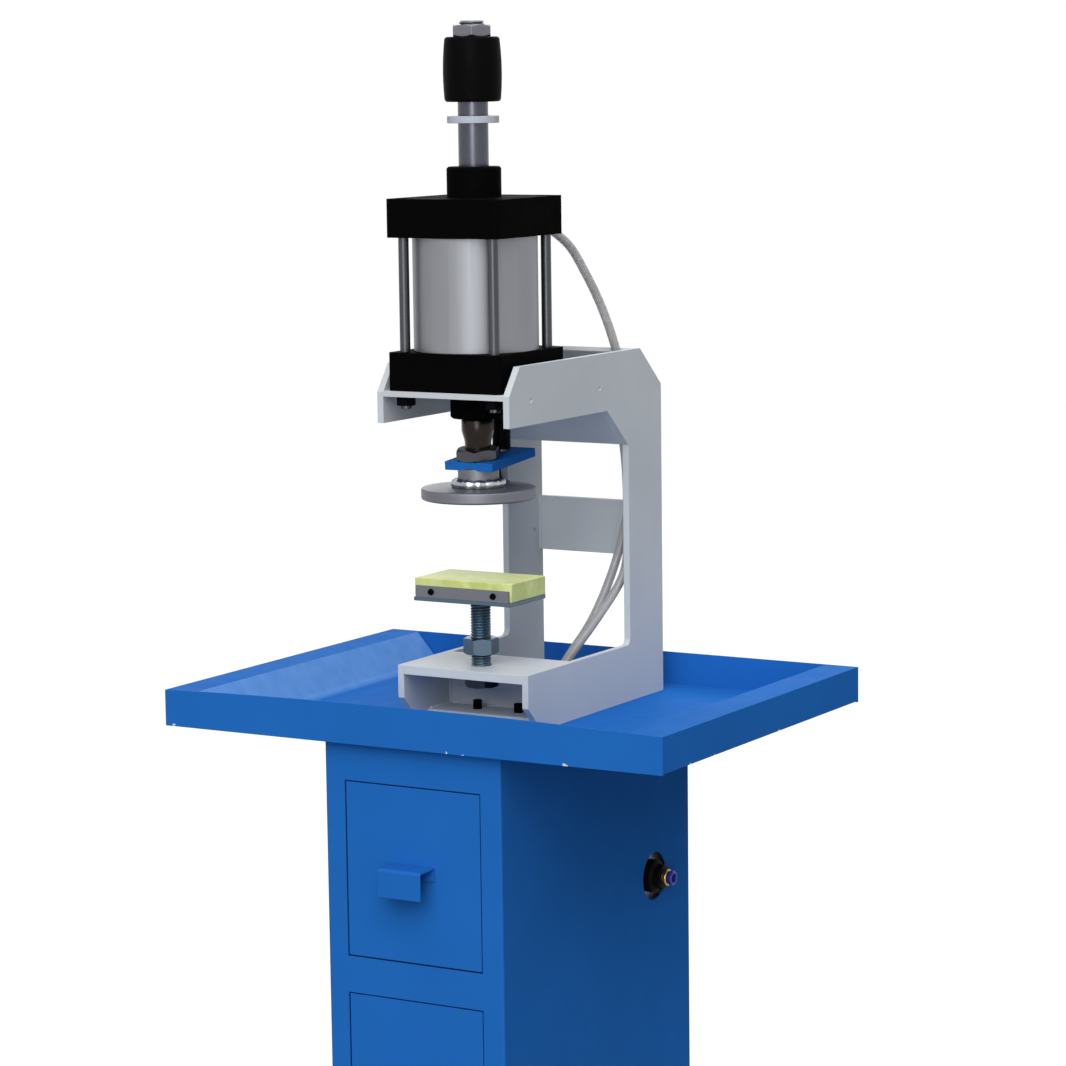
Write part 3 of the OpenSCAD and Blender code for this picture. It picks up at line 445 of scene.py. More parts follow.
def merged(mesh, gap=2e-6):
    """A mesh as a bmesh, its loose triangles joined and flat faces made whole."""
    shape = bmesh.new()
    shape.from_mesh(mesh)
    bmesh.ops.remove_doubles(shape, verts=shape.verts, dist=gap)
    bmesh.ops.dissolve_limit(
        shape, angle_limit=math.radians(0.3), verts=shape.verts, edges=shape.edges
    )
    return shape


def bisected(shape, faces, level):
    """A level cut through some of the shape's faces."""
    around = {v for f in faces for v in f.verts} | {e for f in faces for e in f.edges}
    bmesh.ops.bisect_plane(
        shape, geom=[*around, *faces], plane_co=(0, 0, level), plane_no=(0, 0, 1)
    )


def meshed(shape, name, smooth=40):
    """The bmesh as a mesh, smooth except across sharp edges."""
    mesh = bpy.data.meshes.new(name)
    shape.to_mesh(mesh)
    shape.free()
    mesh.shade_smooth()
    mesh.set_sharp_from_angle(angle=math.radians(smooth))
    return mesh


def edged(made, width, steps=2, angle=35):
    """Rounded edges, left as a live modifier."""
    bevel = made.modifiers.new("edges", "BEVEL")
    bevel.width = width
    bevel.segments = steps
    bevel.limit_method = "ANGLE"
    bevel.angle_limit = math.radians(angle)
    bevel.use_clamp_overlap = True
    weigh = made.modifiers.new("normals", "WEIGHTED_NORMAL")
    weigh.keep_sharp = True
    return made


def finished(node, finish, width, steps=2, corners=None, fold=0.0, moved=None):
    """A CAD node's shape with its edges rounded, in place of the node.
    moved gives a point's new place; corners picks edges that get the wider radius fold first."""
    shape = merged(NODES[node].data)
    if moved:
        for v in shape.verts:
            v.co = moved(v.co)
    if corners:
        chosen = [e for e in shape.edges if corners(e)]
        bmesh.ops.bevel(shape, geom=chosen, offset=fold, segments=4, profile=0.5, affect="EDGES")
    made = piece(f"{node}_finish", meshed(shape, node), body_of(node), finish, [node])
    return edged(made, width, steps) if width else made


def kept(node, finish):
    """A CAD node left as it is, with its material."""
    mesh = NODES[node].data
    mesh.materials.clear()
    mesh.materials.append(FINISH[finish])


def lathe(profile, centre, steps=96):
    """A closed turned shape about a vertical line, from radius and height pairs.
    The first and the last have radius 0."""
    shape = bmesh.new()
    rings = []
    for radius, height in profile:
        if radius == 0:
            rings.append([shape.verts.new((centre.x, centre.y, height))])
            continue
        rings.append([
            shape.verts.new((
                centre.x + radius * math.cos(2 * math.pi * i / steps),
                centre.y + radius * math.sin(2 * math.pi * i / steps),
                height,
            ))
            for i in range(steps)
        ])
    for low, high in zip(rings, rings[1:]):
        for i in range(steps):
            j = (i + 1) % steps
            corners = [low[i % len(low)], low[j % len(low)], high[j % len(high)], high[i % len(high)]]
            shape.faces.new(list(dict.fromkeys(corners)))
    bmesh.ops.recalc_face_normals(shape, faces=shape.faces)
    return shape


# ---- Geometry Nodes ----


NUMBER, COUNT, COAT = "NodeSocketFloat", "NodeSocketInt", "NodeSocketMaterial"


def new_tree(name, inputs):
    """A Geometry Nodes tree with named inputs; returns it with its input and output nodes."""
    tree = bpy.data.node_groups.new(name, "GeometryNodeTree")
    tree.interface.new_socket("Geometry", in_out="INPUT", socket_type="NodeSocketGeometry")
    tree.interface.new_socket("Geometry", in_out="OUTPUT", socket_type="NodeSocketGeometry")
    for label, kind in inputs:
        tree.interface.new_socket(label, in_out="INPUT", socket_type=kind)
    return tree, add(tree, "NodeGroupInput").outputs, add(tree, "NodeGroupOutput")


def close_tree(tree, geometry, given, out):
    """The end of a tree: instances made real, the material set."""
    real = add(tree, "GeometryNodeRealizeInstances", {"Geometry": geometry})
    coated = add(tree, "GeometryNodeSetMaterial", {"Geometry": real, "Material": given["Material"]})
    tree.links.new(coated.outputs[0], out.inputs[0])


def grown(tree, name, values, base=None):
    """The tree's result as a plain mesh; the object and modifier that made it are removed."""
    seed = bpy.data.objects.new(name, base or bpy.data.meshes.new(name))
    bpy.context.scene.collection.objects.link(seed)
    modifier = seed.modifiers.new(tree.name, "NODES")
    modifier.node_group = tree
    for item in tree.interface.items_tree:
        if item.in_out == "INPUT" and item.name in values:
            modifier[item.identifier] = values[item.name]
    graph = bpy.context.evaluated_depsgraph_get()
    mesh = bpy.data.meshes.new_from_object(seed.evaluated_get(graph), depsgraph=graph)
    bpy.data.objects.remove(seed)
    return mesh


def thread_tree():
    """A screw thread as a closed shape: a sheet rolled round its axis, with a helical groove."""
    name = "Screw thread"
    if name in bpy.data.node_groups:
        return bpy.data.node_groups[name]
    tree, given, out = new_tree(name, [
        ("Radius", NUMBER), ("Depth", NUMBER), ("Pitch", NUMBER), ("Length", NUMBER),
        ("Start", "NodeSocketVector"), ("Rows", COUNT), ("Columns", COUNT), ("Material", COAT),
    ])
    rows, columns, pitch = given["Rows"], given["Columns"], given["Pitch"]
    outer, deep, length = given["Radius"], given["Depth"], given["Length"]
    grid = add(tree, "GeometryNodeMeshGrid", {
        "Size X": 1.0, "Size Y": 1.0, "Vertices X": columns, "Vertices Y": rows,
    })
    place = add(tree, "GeometryNodeInputPosition")
    parts = add(tree, "ShaderNodeSeparateXYZ", [place]).outputs
    turn = add(tree, MATH, [parts["X"], 0.5], operation="ADD")
    up = add(tree, MATH, [parts["Y"], 0.5], operation="ADD")
    # the first and last rows close the ends: same height as their neighbours, radius 0
    gaps = add(tree, MATH, [rows, 1], operation="SUBTRACT")
    step = add(tree, MATH, [1.0, gaps], operation="DIVIDE")
    both = add(tree, MATH, [step, 2], operation="MULTIPLY")
    inner = add(tree, MATH, [1.0, both], operation="SUBTRACT")
    past = add(tree, MATH, [up, step], operation="SUBTRACT")
    share = add(tree, MATH, [past, inner], operation="DIVIDE", use_clamp=True)
    height = add(tree, MATH, [share, length], operation="MULTIPLY")
    down = add(tree, MATH, [1.0, up], operation="SUBTRACT")
    ends = add(tree, MATH, [up, down], operation="MINIMUM")
    half = add(tree, MATH, [step, 0.5], operation="MULTIPLY")
    wall = add(tree, MATH, [ends, half], operation="GREATER_THAN")
    # a groove with a flat crest, once round for each pitch
    turns = add(tree, MATH, [height, pitch], operation="DIVIDE")
    ahead = add(tree, MATH, [turns, turn], operation="SUBTRACT")
    phase = add(tree, MATH, [ahead], operation="FRACT")
    centred = add(tree, MATH, [phase, 0.5], operation="SUBTRACT")
    slope = add(tree, MATH, [centred], operation="ABSOLUTE")
    steep = add(tree, MATH, [slope, 2.6], operation="MULTIPLY")
    groove = add(tree, MATH, [steep, 0.2], operation="SUBTRACT", use_clamp=True)
    taken = add(tree, MATH, [groove, deep], operation="MULTIPLY")
    cut = add(tree, MATH, [outer, taken], operation="SUBTRACT")
    # both ends are chamfered down to the root
    root = add(tree, MATH, [outer, deep], operation="SUBTRACT")
    left = add(tree, MATH, [length, height], operation="SUBTRACT")
    from_end = add(tree, MATH, [height, left], operation="MINIMUM")
    chamfer = add(tree, MATH, [root, from_end], operation="ADD")
    skin = add(tree, MATH, [cut, chamfer], operation="MINIMUM")
    radius = add(tree, MATH, [skin, wall], operation="MULTIPLY")
    angle = add(tree, MATH, [turn, 2 * math.pi], operation="MULTIPLY")
    cosine = add(tree, MATH, [angle], operation="COSINE")
    sine = add(tree, MATH, [angle], operation="SINE")
    x = add(tree, MATH, [radius, cosine], operation="MULTIPLY")
    y = add(tree, MATH, [radius, sine], operation="MULTIPLY")
    spot = add(tree, "ShaderNodeCombineXYZ", [x, y, height])
    there = add(tree, "ShaderNodeVectorMath", [spot, given["Start"]], operation="ADD")
    rolled = add(tree, "GeometryNodeSetPosition", {"Geometry": grid, "Position": there})
    closed = add(tree, "GeometryNodeMergeByDistance", {"Geometry": rolled, "Distance": 1e-6})
    close_tree(tree, closed, given, out)
    return tree


def thread(name, radius, depth, pitch, low, high, body, finish):
    """A threaded length on the ram's axis, from low to high, as a piece. 10 rows make a turn."""
    length = high - low
    mesh = grown(thread_tree(), name, {
        "Radius": radius, "Depth": depth, "Pitch": pitch, "Length": length,
        "Start": (RAM.x, RAM.y, low), "Rows": int(length / pitch * 10) + 3, "Columns": 49,
        "Material": FINISH[finish],
    })
    shape = bmesh.new()
    shape.from_mesh(mesh)
    bmesh.ops.recalc_face_normals(shape, faces=shape.faces)
    return piece(name, meshed(shape, name, 50), body, finish)


def skin_of(tree, line, given, more=()):
    """A round skin on a line, shaded smooth, with more inputs where it swells or is capped."""
    ring = add(tree, "GeometryNodeCurvePrimitiveCircle", {
        "Radius": given["Radius"], "Resolution": given["Sides"],
    })
    skin = add(tree, "GeometryNodeCurveToMesh", {
        "Curve": line, "Profile Curve": ring, **dict(more),
    })
    return add(tree, "GeometryNodeSetShadeSmooth", [skin])


def tube_tree():
    """A round skin along a smooth line through the base mesh's points."""
    name = "Air tube"
    if name in bpy.data.node_groups:
        return bpy.data.node_groups[name]
    tree, given, out = new_tree(
        name, [("Radius", NUMBER), ("Step", NUMBER), ("Sides", COUNT), ("Material", COAT)]
    )
    line = add(tree, "GeometryNodeMeshToCurve", {"Mesh": given["Geometry"]})
    soft = add(tree, "GeometryNodeCurveSplineType", {"Curve": line}, spline_type="CATMULL_ROM")
    even = add(
        tree, "GeometryNodeResampleCurve", {"Curve": soft, "Length": given["Step"]}, mode="LENGTH"
    )
    # every point but the two ends is eased towards its neighbours
    place = add(tree, "GeometryNodeInputPosition")
    blurred = add(
        tree, "GeometryNodeBlurAttribute", {"Iterations": 12, "Value": place},
        data_type="FLOAT_VECTOR",
    )
    ends = add(tree, "GeometryNodeCurveEndpointSelection")
    inside = add(tree, MATH, [1.0, ends], operation="SUBTRACT")
    eased = add(tree, "GeometryNodeSetPosition", {
        "Geometry": even, "Position": blurred, "Selection": inside,
    })
    close_tree(tree, skin_of(tree, eased, given), given, out)
    return tree


def bead_tree():
    """A weld bead along the base mesh's line: a round cord that swells once for each ripple."""
    name = "Weld bead"
    if name in bpy.data.node_groups:
        return bpy.data.node_groups[name]
    tree, given, out = new_tree(name, [
        ("Radius", NUMBER), ("Ripple", NUMBER), ("Swell", NUMBER), ("Sides", COUNT),
        ("Material", COAT),
    ])
    line = add(tree, "GeometryNodeMeshToCurve", {"Mesh": given["Geometry"]})
    step = add(tree, MATH, [given["Ripple"], 5], operation="DIVIDE")
    even = add(tree, "GeometryNodeResampleCurve", {"Curve": line, "Length": step}, mode="LENGTH")
    along = add(tree, "GeometryNodeSplineParameter").outputs["Length"]
    ripples = add(tree, MATH, [along, given["Ripple"]], operation="DIVIDE")
    phase = add(tree, MATH, [ripples], operation="FRACT")
    angle = add(tree, MATH, [phase, math.pi], operation="MULTIPLY")
    wave = add(tree, MATH, [angle], operation="SINE")
    hollow = add(tree, MATH, [1.0, wave], operation="SUBTRACT")
    thinner = add(tree, MATH, [hollow, given["Swell"]], operation="MULTIPLY")
    scale = add(tree, MATH, [1.0, thinner], operation="SUBTRACT")
    skin = skin_of(tree, even, given, {"Scale": scale, "Fill Caps": True})
    close_tree(tree, skin, given, out)
    return tree


def line_mesh(name, points, closed=False):
    """A mesh of edges through points."""
    mesh = bpy.data.meshes.new(name)
    edges = [(i, i + 1) for i in range(len(points) - 1)]
    if closed:
        edges.append((len(points) - 1, 0))
    mesh.from_pydata(points, edges, [])
    return mesh


def bead(name, lines, radius, ripple, swell, body, finish):
    """Weld beads along straight or closed lines, as one piece."""
    shape = bmesh.new()
    for number, (points, closed) in enumerate(lines):
        mesh = grown(bead_tree(), f"{name}_{number}", {
            "Radius": radius, "Ripple": ripple, "Swell": swell, "Sides": 10,
            "Material": FINISH[finish],
        }, line_mesh(name, points, closed))
        shape.from_mesh(mesh)
    bmesh.ops.recalc_face_normals(shape, faces=shape.faces)
    return piece(name, meshed(shape, name, 80), body, finish)


# ---- operators ----


class PRESS_OT_stage(Operator):
    """Sets the floor, the lamps, the background and the camera"""

    bl_idname = "press.stage"
    bl_label = "Stage"

    def execute(self, context):
        given = context.scene.press_stage
        context.scene.view_settings.view_transform = "Standard"
        self.world(context, given)
        self.floor()
        self.lamp("Main", (0.25, -0.77, 0.59), given.sun, 50)
        self.lamp("Top", (0.35, -0.1, 0.93), given.top, 60)
        self.lamp("Edge", (0.41, -0.91, -0.03), given.edge, 24)
        self.lamp("Fill", (-0.35, 0.7, 0.62), given.fill, 40)
        self.camera(context, given)
        return {"FINISHED"}

    def world(self, context, given):
        """Even light on the object; white to the camera, in reflections and through clear parts."""
        world = bpy.data.worlds.new("Studio")
        context.scene.world = world
        world.use_nodes = True
        tree = world.node_tree
        tree.nodes.clear()
        seen = self.seen(tree)
        light = add(tree, "ShaderNodeBackground", {"Color": (1, 1, 1, 1), "Strength": given.sky})
        white = add(tree, "ShaderNodeBackground", {"Color": (1, 1, 1, 1), "Strength": 1.0})
        mixed = add(tree, "ShaderNodeMixShader", [seen, light, white])
        add(tree, "ShaderNodeOutputWorld", {"Surface": mixed})

    def seen(self, tree):
        """1 for camera, glossy and transmission rays."""
        path = add(tree, "ShaderNodeLightPath").outputs
        rays = [path["Is Camera Ray"], path["Is Glossy Ray"]]
        both = add(tree, MATH, rays, operation="ADD")
        return add(tree, MATH, [both, path["Is Transmission Ray"]], operation="ADD", use_clamp=True)

    def floor(self):
        """Pale floor that looks white where no shadow falls."""
        mesh = bpy.data.meshes.new("Floor")
        mesh.from_pydata([(-6, -6, 0), (6, -6, 0), (6, 6, 0), (-6, 6, 0)], [], [(0, 1, 2, 3)])
        made = bpy.data.materials.new("matt white studio floor")
        made.use_nodes = True
        tree = made.node_tree
        tree.nodes.clear()
        matt = add(tree, "ShaderNodeBsdfDiffuse", {"Color": (0.2, 0.2, 0.2, 1)})
        level = add(tree, MATH, [self.seen(tree), 0.82], operation="MULTIPLY")
        glow = add(tree, "ShaderNodeEmission", {"Color": (1, 1, 1, 1), "Strength": level})
        both = add(tree, "ShaderNodeAddShader", [matt, glow])
        add(tree, "ShaderNodeOutputMaterial", {"Surface": both})
        mesh.materials.append(made)
        floor = bpy.data.objects.new("Floor", mesh)
        bpy.context.scene.collection.objects.link(floor)

    def lamp(self, name, towards, strength, angle):
        """A wide, distant lamp."""
        data = bpy.data.lights.new(name, "SUN")
        data.energy = strength
        data.angle = math.radians(angle)
        made = bpy.data.objects.new(name, data)
        made.rotation_euler = Vector(towards).to_track_quat("Z", "Y").to_euler()
        bpy.context.scene.collection.objects.link(made)

    def camera(self, context, given):
        """A long lens at the front right, about as high as the machine."""
        turn, rise, roll = given.turn, given.rise, given.roll
        level = math.cos(rise)
        back = Vector((math.sin(turn) * level, -math.cos(turn) * level, math.sin(rise)))
        right = Vector((math.cos(turn), math.sin(turn), 0))
        up = back.cross(right)
        across = math.cos(roll) * right + math.sin(roll) * up
        upward = math.cos(roll) * up - math.sin(roll) * right
        data = bpy.data.cameras.new("Camera")
        data.sensor_width = 36
        data.lens = given.lens
        data.shift_x, data.shift_y = given.shift
        data.clip_start, data.clip_end = 0.1, 100
        made = bpy.data.objects.new("Camera", data)
        turned = Matrix((across, upward, back)).transposed().to_4x4()
        made.matrix_world = Matrix.Translation(given.place) @ turned
        context.scene.collection.objects.link(made)
        context.scene.camera = made


class PRESS_OT_cabinet(Operator):
    """Finishes the cabinet, its drawers, runners, rear panel and feet"""

    bl_idname = "press.cabinet"
    bl_label = "Cabinet"

    def execute(self, context):
        sizes = context.scene.press_sizes
        finishes(context.scene.press_colours)
        self.shell(sizes)
        for node in ("drawer_upper", "drawer_lower"):
            finished(node, "blue", sizes.sheet_edge)
        for node in ("handle_upper", "handle_lower"):
            finished(node, "blue", sizes.plate_edge)
        for node in ("cabinet_top", "cabinet_back"):
            kept(node, "blue")
        finished("back_screws", "zinc", 0)
        finished("drawer_runners", "zinc", sizes.sheet_edge)
        finished("feet", "rubber", sizes.turned_edge)
        return {"FINISHED"}

    def shell(self, sizes):
        """Front, sides, bottom and flanges as one folded and welded sheet."""
        both = []
        for node in ("cabinet_shell", "cabinet_sides"):
            made = bpy.data.objects.new(node + "_part", meshed(merged(NODES[node].data), node))
            bpy.context.scene.collection.objects.link(made)
            both.append(made)
        union = both[0].modifiers.new("join", "BOOLEAN")
        union.operation, union.solver, union.object = "UNION", "EXACT", both[1]
        graph = bpy.context.evaluated_depsgraph_get()
        mesh = bpy.data.meshes.new_from_object(both[0].evaluated_get(graph), depsgraph=graph)
        for made in both:
            bpy.data.objects.remove(made)
        shape = merged(mesh, 1e-5)
        low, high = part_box("cabinet_shell")
        # level seams through the openings, in place of slanting ones that spoil the corners
        for opening in ("inlet_collar", "drawer_lower"):
            walls = [f for f in shape.faces if abs(f.normal.z) < 1e-3]
            bisected(shape, walls, middle(opening).z)

        def slanting(edge):
            a, b = (v.co for v in edge.verts)
            flat = len(edge.link_faces) == 2 and edge.calc_face_angle() < 1e-3
            return flat and abs(a.z - b.z) > 1e-3 and (a - b).xy.length > 1e-4

        bmesh.ops.dissolve_edges(shape, edges=[e for e in shape.edges if slanting(e)])

        def corner(edge):
            a, b = (v.co for v in edge.verts)
            upright = abs(a.z - b.z) > 0.1
            side = min(abs(a.x - low.x), abs(a.x - high.x)) < 1e-4
            end = min(abs(a.y - low.y), abs(a.y - high.y)) < 1e-4
            return upright and side and end

        chosen = [e for e in shape.edges if corner(e)]
        bmesh.ops.bevel(
            shape, geom=chosen, offset=sizes.fold, segments=5, profile=0.5, affect="EDGES"
        )
        made = piece(
            "cabinet_shell_finish", meshed(shape, "cabinet_shell"), "machine", "blue",
            ["cabinet_shell", "cabinet_sides"],
        )
        edged(made, sizes.sheet_edge)


class PRESS_OT_tray(Operator):
    """Finishes the tray and the grommet where the air tubes pass"""

    bl_idname = "press.tray"
    bl_label = "Tray"

    def execute(self, context):
        sizes = context.scene.press_sizes
        finishes(context.scene.press_colours)
        low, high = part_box("tray")
        floor, wall = low.z + TRAY_SHEET, high.x - TRAY_RIM

        def sloped(point):
            """The foot of each side wall, moved in."""
            if abs(abs(point.x) - wall) < 0.0025 and point.z < floor + 0.001:
                return point - Vector((math.copysign(sizes.slope, point.x), 0, 0))
            return point

        def bend(edge):
            """The long inside corner between floor and side wall."""
            a, b = (v.co for v in edge.verts)
            inner = all(abs(abs(p.x) - wall + sizes.slope) < 1e-3 for p in (a, b))
            level = all(abs(p.z - floor) < 1e-4 for p in (a, b))
            return inner and level and abs(a.y - b.y) > 0.1

        finished(
            "tray", "tray_blue", sizes.rim_fold, 3,
            corners=bend, fold=sizes.tray_bend, moved=sloped,
        )
        finished("tube_grommet", "rubber", sizes.turned_edge)
        return {"FINISHED"}


class PRESS_OT_frame(Operator):
    """Finishes the C frame, its welds and the screws that hold it down"""

    bl_idname = "press.frame"
    bl_label = "C frame"

    def execute(self, context):
        sizes = context.scene.press_sizes
        finishes(context.scene.press_colours)
        for node in (
            "side_plate_left", "side_plate_right", "base_plate", "foot_web", "foot_flanges",
            "cylinder_plate", "throat_plate", "rear_top_plate", "back_brace",
        ):
            finished(node, "grey", sizes.plate_edge)
        finished("frame_screws", "black_oxide", sizes.turned_edge)
        # the base nut is dark steel, and its darker finish is also painted shade from the base plate
        # above
        finished("base_nut", "dark_steel", sizes.turned_edge)
        end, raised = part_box("guide_sleeve")[0].z, Vector((0, 0, 0.003))
        finished(
            "guide_sleeve", "black_oxide", sizes.turned_edge,
            moved=lambda p: p + raised if p.z < end + 0.001 else p,
        )
        self.welds(sizes)
        return {"FINISHED"}

    def welds(self, sizes):
        """Painted fillets in the inside corners where the plates meet."""
        brace, deck, base, flange = (
            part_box(node) for node in ("back_brace", "cylinder_plate", "base_plate", "foot_flanges")
        )
        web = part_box("foot_web")
        clear = 0.004  # from a plate's front edge to the start of its weld
        lines = []
        for side in (0, 1):
            x = base[side].x * 0.99
            for start, end in (
                ((brace[0].y, brace[0].z), (brace[0].y, brace[1].z)),
                ((deck[0].y + clear, deck[0].z), (deck[1].y, deck[0].z)),
                ((base[0].y + clear, base[0].z), (web[0].y, base[0].z)),
                ((flange[0].y + clear, flange[1].z), (web[0].y, flange[1].z)),
                ((web[0].y, flange[1].z), (web[0].y, base[0].z)),
            ):
                lines.append(([(x, *start), (x, *end)], False))
        for z in (base[0].z, flange[1].z):
            lines.append(([(base[0].x, web[0].y, z), (base[1].x, web[0].y, z)], False))
        bead(
            "frame_welds", lines, radius=0.0017, ripple=sizes.ripple, swell=0.15,
            body="machine", finish="grey",
        )


class PRESS_OT_cylinder(Operator):
    """Finishes the cylinder: caps, barrel, tie rods, nuts, bushes and port fittings"""

    bl_idname = "press.cylinder"
    bl_label = "Cylinder"

    def execute(self, context):
        sizes = context.scene.press_sizes
        finishes(context.scene.press_colours)
        for node in ("cap_lower", "cap_upper"):
            finished(node, "black_metal", sizes.block_edge, 3)
        finished("barrel", "aluminium", sizes.turned_edge)
        finished("tie_rods", "dark_steel", sizes.turned_edge)
        finished("tie_nuts_lower", "black_oxide", sizes.turned_edge)
        finished("tie_nuts_upper", "zinc", sizes.turned_edge)
        finished("rod_bushes", "brass", sizes.turned_edge)
        finished("rod_wipers", "rubber", sizes.turned_edge)
        finished("port_fittings", "black_plastic", sizes.turned_edge)
        kept("piston", "aluminium")
        kept("piston_seals", "rubber")
        return {"FINISHED"}


class PRESS_OT_ram(Operator):
    """Finishes the ram: piston rod with its threads, nut, guide plate, hub and press disc"""

    bl_idname = "press.ram"
    bl_label = "Ram"

    # how many times wider the nut and the hub are made
    NUT_WIDTH, HUB_WIDTH = 1.08, 1.12
    # how far the guide plate grows downwards and forwards
    PLATE_DROP, PLATE_REACH = 0.0015, 0.0025

    def execute(self, context):
        sizes = context.scene.press_sizes
        finishes(context.scene.press_colours)
        self.rod(sizes)
        pivot = middle("guide_plate")
        pivot.x, pivot.y = RAM.x, RAM.y
        turn = Matrix.Rotation(sizes.lean, 3, "X")
        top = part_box("hub")[1].z

        def wide(point, share):
            """A point moved out from the ram's axis."""
            x, y = point.x - RAM.x, point.y - RAM.y
            return Vector((RAM.x + x * share, RAM.y + y * share, point.z))

        def leant(point):
            return pivot + turn @ (point - pivot)

        def plate(point):
            """The plate's underside set lower and its front further forward, then leant."""
            drop = self.PLATE_DROP if point.z < pivot.z else 0
            reach = self.PLATE_REACH if point.y < RAM.y else 0
            return leant(point - Vector((0, reach, drop)))

        finished(
            "ram_nut", "dark_steel", sizes.turned_edge,
            moved=lambda p: leant(wide(p, self.NUT_WIDTH)),
        )
        finished("guide_plate", "blue", sizes.plate_edge, moved=plate)
        finished("guide_rod", "chrome", sizes.turned_edge)

        def hub(point):
            """The hub's top follows the leaning plate."""
            rise = math.tan(sizes.lean) * (point.y - RAM.y) if point.z > top - 0.001 else 0
            return wide(point, self.HUB_WIDTH) + Vector((0, 0, rise))

        finished("hub", "steel", sizes.turned_edge, moved=hub)
        finished("press_disc", "steel", sizes.turned_edge)
        self.weld()
        return {"FINISHED"}

    def weld(self):
        """The weld between hub and disc, laid in heavy ripples."""
        out, above = 0.019, 0.0034  # the bead's middle, from the ram's axis and from the disc
        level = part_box("press_disc")[1].z + above
        turns = [2 * math.pi * i / 48 for i in range(48)]
        ring = [(RAM.x + out * math.cos(t), RAM.y + out * math.sin(t), level) for t in turns]
        bead(
            "hub_weld", [(ring, True)], radius=0.0054, ripple=0.0095, swell=0.28,
            body="ram", finish="weld",
        )

    def rod(self, sizes):
        """The ground rod and, on the same body, its lower and upper threads."""
        low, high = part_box("piston_rod")
        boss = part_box("cap_lower")[0].z
        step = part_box("stop_collar")[0].z + 0.0115
        shoulder = boss - 0.008
        rod_r, screw_r, stud_r = 0.013, 0.010, 0.011
        depth = sizes.rod_pitch * 0.61
        # inside its threads the rod stays just clear of their roots
        screw_core, stud_core = screw_r - depth - 0.0002, stud_r - depth - 0.0002
        shape = lathe([
            (0, low.z), (screw_core, low.z), (screw_core, shoulder - 0.0065),
            (screw_r, shoulder - 0.006), (rod_r - 0.0004, shoulder - 0.0003),
            (rod_r, shoulder + 0.0002), (rod_r, step - 0.001), (rod_r - 0.001, step),
            (stud_core, step), (stud_core, high.z - 0.0003), (0, high.z - 0.0003),
        ], RAM)
        mesh = meshed(shape, "piston_rod")
        piece("piston_rod_finish", mesh, "ram", "chrome", ["piston_rod"])
        # the browned shoulder flares from the nut up to the cylinder's boss
        nut_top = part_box("ram_nut")[1].z
        shape = lathe([
            (0, nut_top - 0.002), (0.0112, nut_top - 0.002), (0.0116, nut_top + 0.005),
            (0.0123, nut_top + 0.0085), (0.0136, nut_top + 0.0125), (0.0142, nut_top + 0.0155),
            (0.0142, boss - 0.0022), (0.0137, boss - 0.0008), (0, boss - 0.0008),
        ], RAM)
        piece("rod_shoulder", meshed(shape, "rod_shoulder"), "ram", "browned")
        for name, radius, start, end in (
            ("rod_thread_lower", screw_r, low.z, shoulder - 0.006),
            ("rod_thread_upper", stud_r, step, high.z),
        ):
            thread(name, radius, depth, sizes.rod_pitch, start, end, "ram", "steel")


class PRESS_OT_stop(Operator):
    """Finishes the stroke stop: collar, nut and bump ring"""

    bl_idname = "press.stop"
    bl_label = "Stroke stop"

    def execute(self, context):
        sizes = context.scene.press_sizes
        finishes(context.scene.press_colours)
        self.collar(sizes)
        finished("stop_nut", "steel", sizes.turned_edge)
        finished("bump_ring", "white_plastic", sizes.turned_edge)
        return {"FINISHED"}

    def collar(self, sizes):
        """The collar, its wall slightly barrel-shaped."""
        bulge, fall, bands, wall_from = 0.0012, 0.0015, 9, 0.02
        shape = merged(NODES["stop_collar"].data)
        low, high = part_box("stop_collar")
        height = high.z - low.z
        for i in range(1, bands):
            bisected(shape, shape.faces, low.z + height * i / bands)
        for v in shape.verts:
            out = Vector((v.co.x - RAM.x, v.co.y - RAM.y, 0))
            if out.length > wall_from:
                # 0 a little below the wall's middle, about 1 at its ends
                share = 2 * (v.co.z - low.z) / height - 0.9
                v.co += out.normalized() * (bulge - fall * share * share)
        made = piece(
            "stop_collar_finish", meshed(shape, "stop_collar"), "stop", "black_oxide",
            ["stop_collar"],
        )
        edged(made, sizes.block_edge, 3)


class PRESS_OT_anvil(Operator):
    """Finishes the anvil: pad, its plate and strip, threaded post and lock nut"""

    bl_idname = "press.anvil"
    bl_label = "Anvil"

    def execute(self, context):
        sizes = context.scene.press_sizes
        finishes(context.scene.press_colours)
        finished("pad", "pad", sizes.turned_edge * 2, 3)
        finished("pad_strip", "steel", sizes.turned_edge)
        finished("strip_screws", "black_oxide", 0)
        finished("lock_nut", "zinc", sizes.turned_edge)
        self.post(sizes)
        return {"FINISHED"}

    def post(self, sizes):
        """The sole plate on its threaded post."""
        low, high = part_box("anvil_post")
        plate_low = high.z - 0.0035
        post_r, depth = 0.009, sizes.post_pitch * 0.4
        shape = bmesh.new()
        bmesh.ops.create_cube(shape, size=1)
        for v in shape.verts:
            v.co = Vector((
                low.x if v.co.x < 0 else high.x, low.y if v.co.y < 0 else high.y,
                plate_low if v.co.z < 0 else high.z,
            ))
        made = piece("anvil_sole", meshed(shape, "anvil_sole"), "anvil", "zinc", ["anvil_post"])
        edged(made, sizes.turned_edge)
        thread(
            "anvil_post_thread", post_r, depth, sizes.post_pitch, low.z, plate_low, "anvil", "zinc"
        )


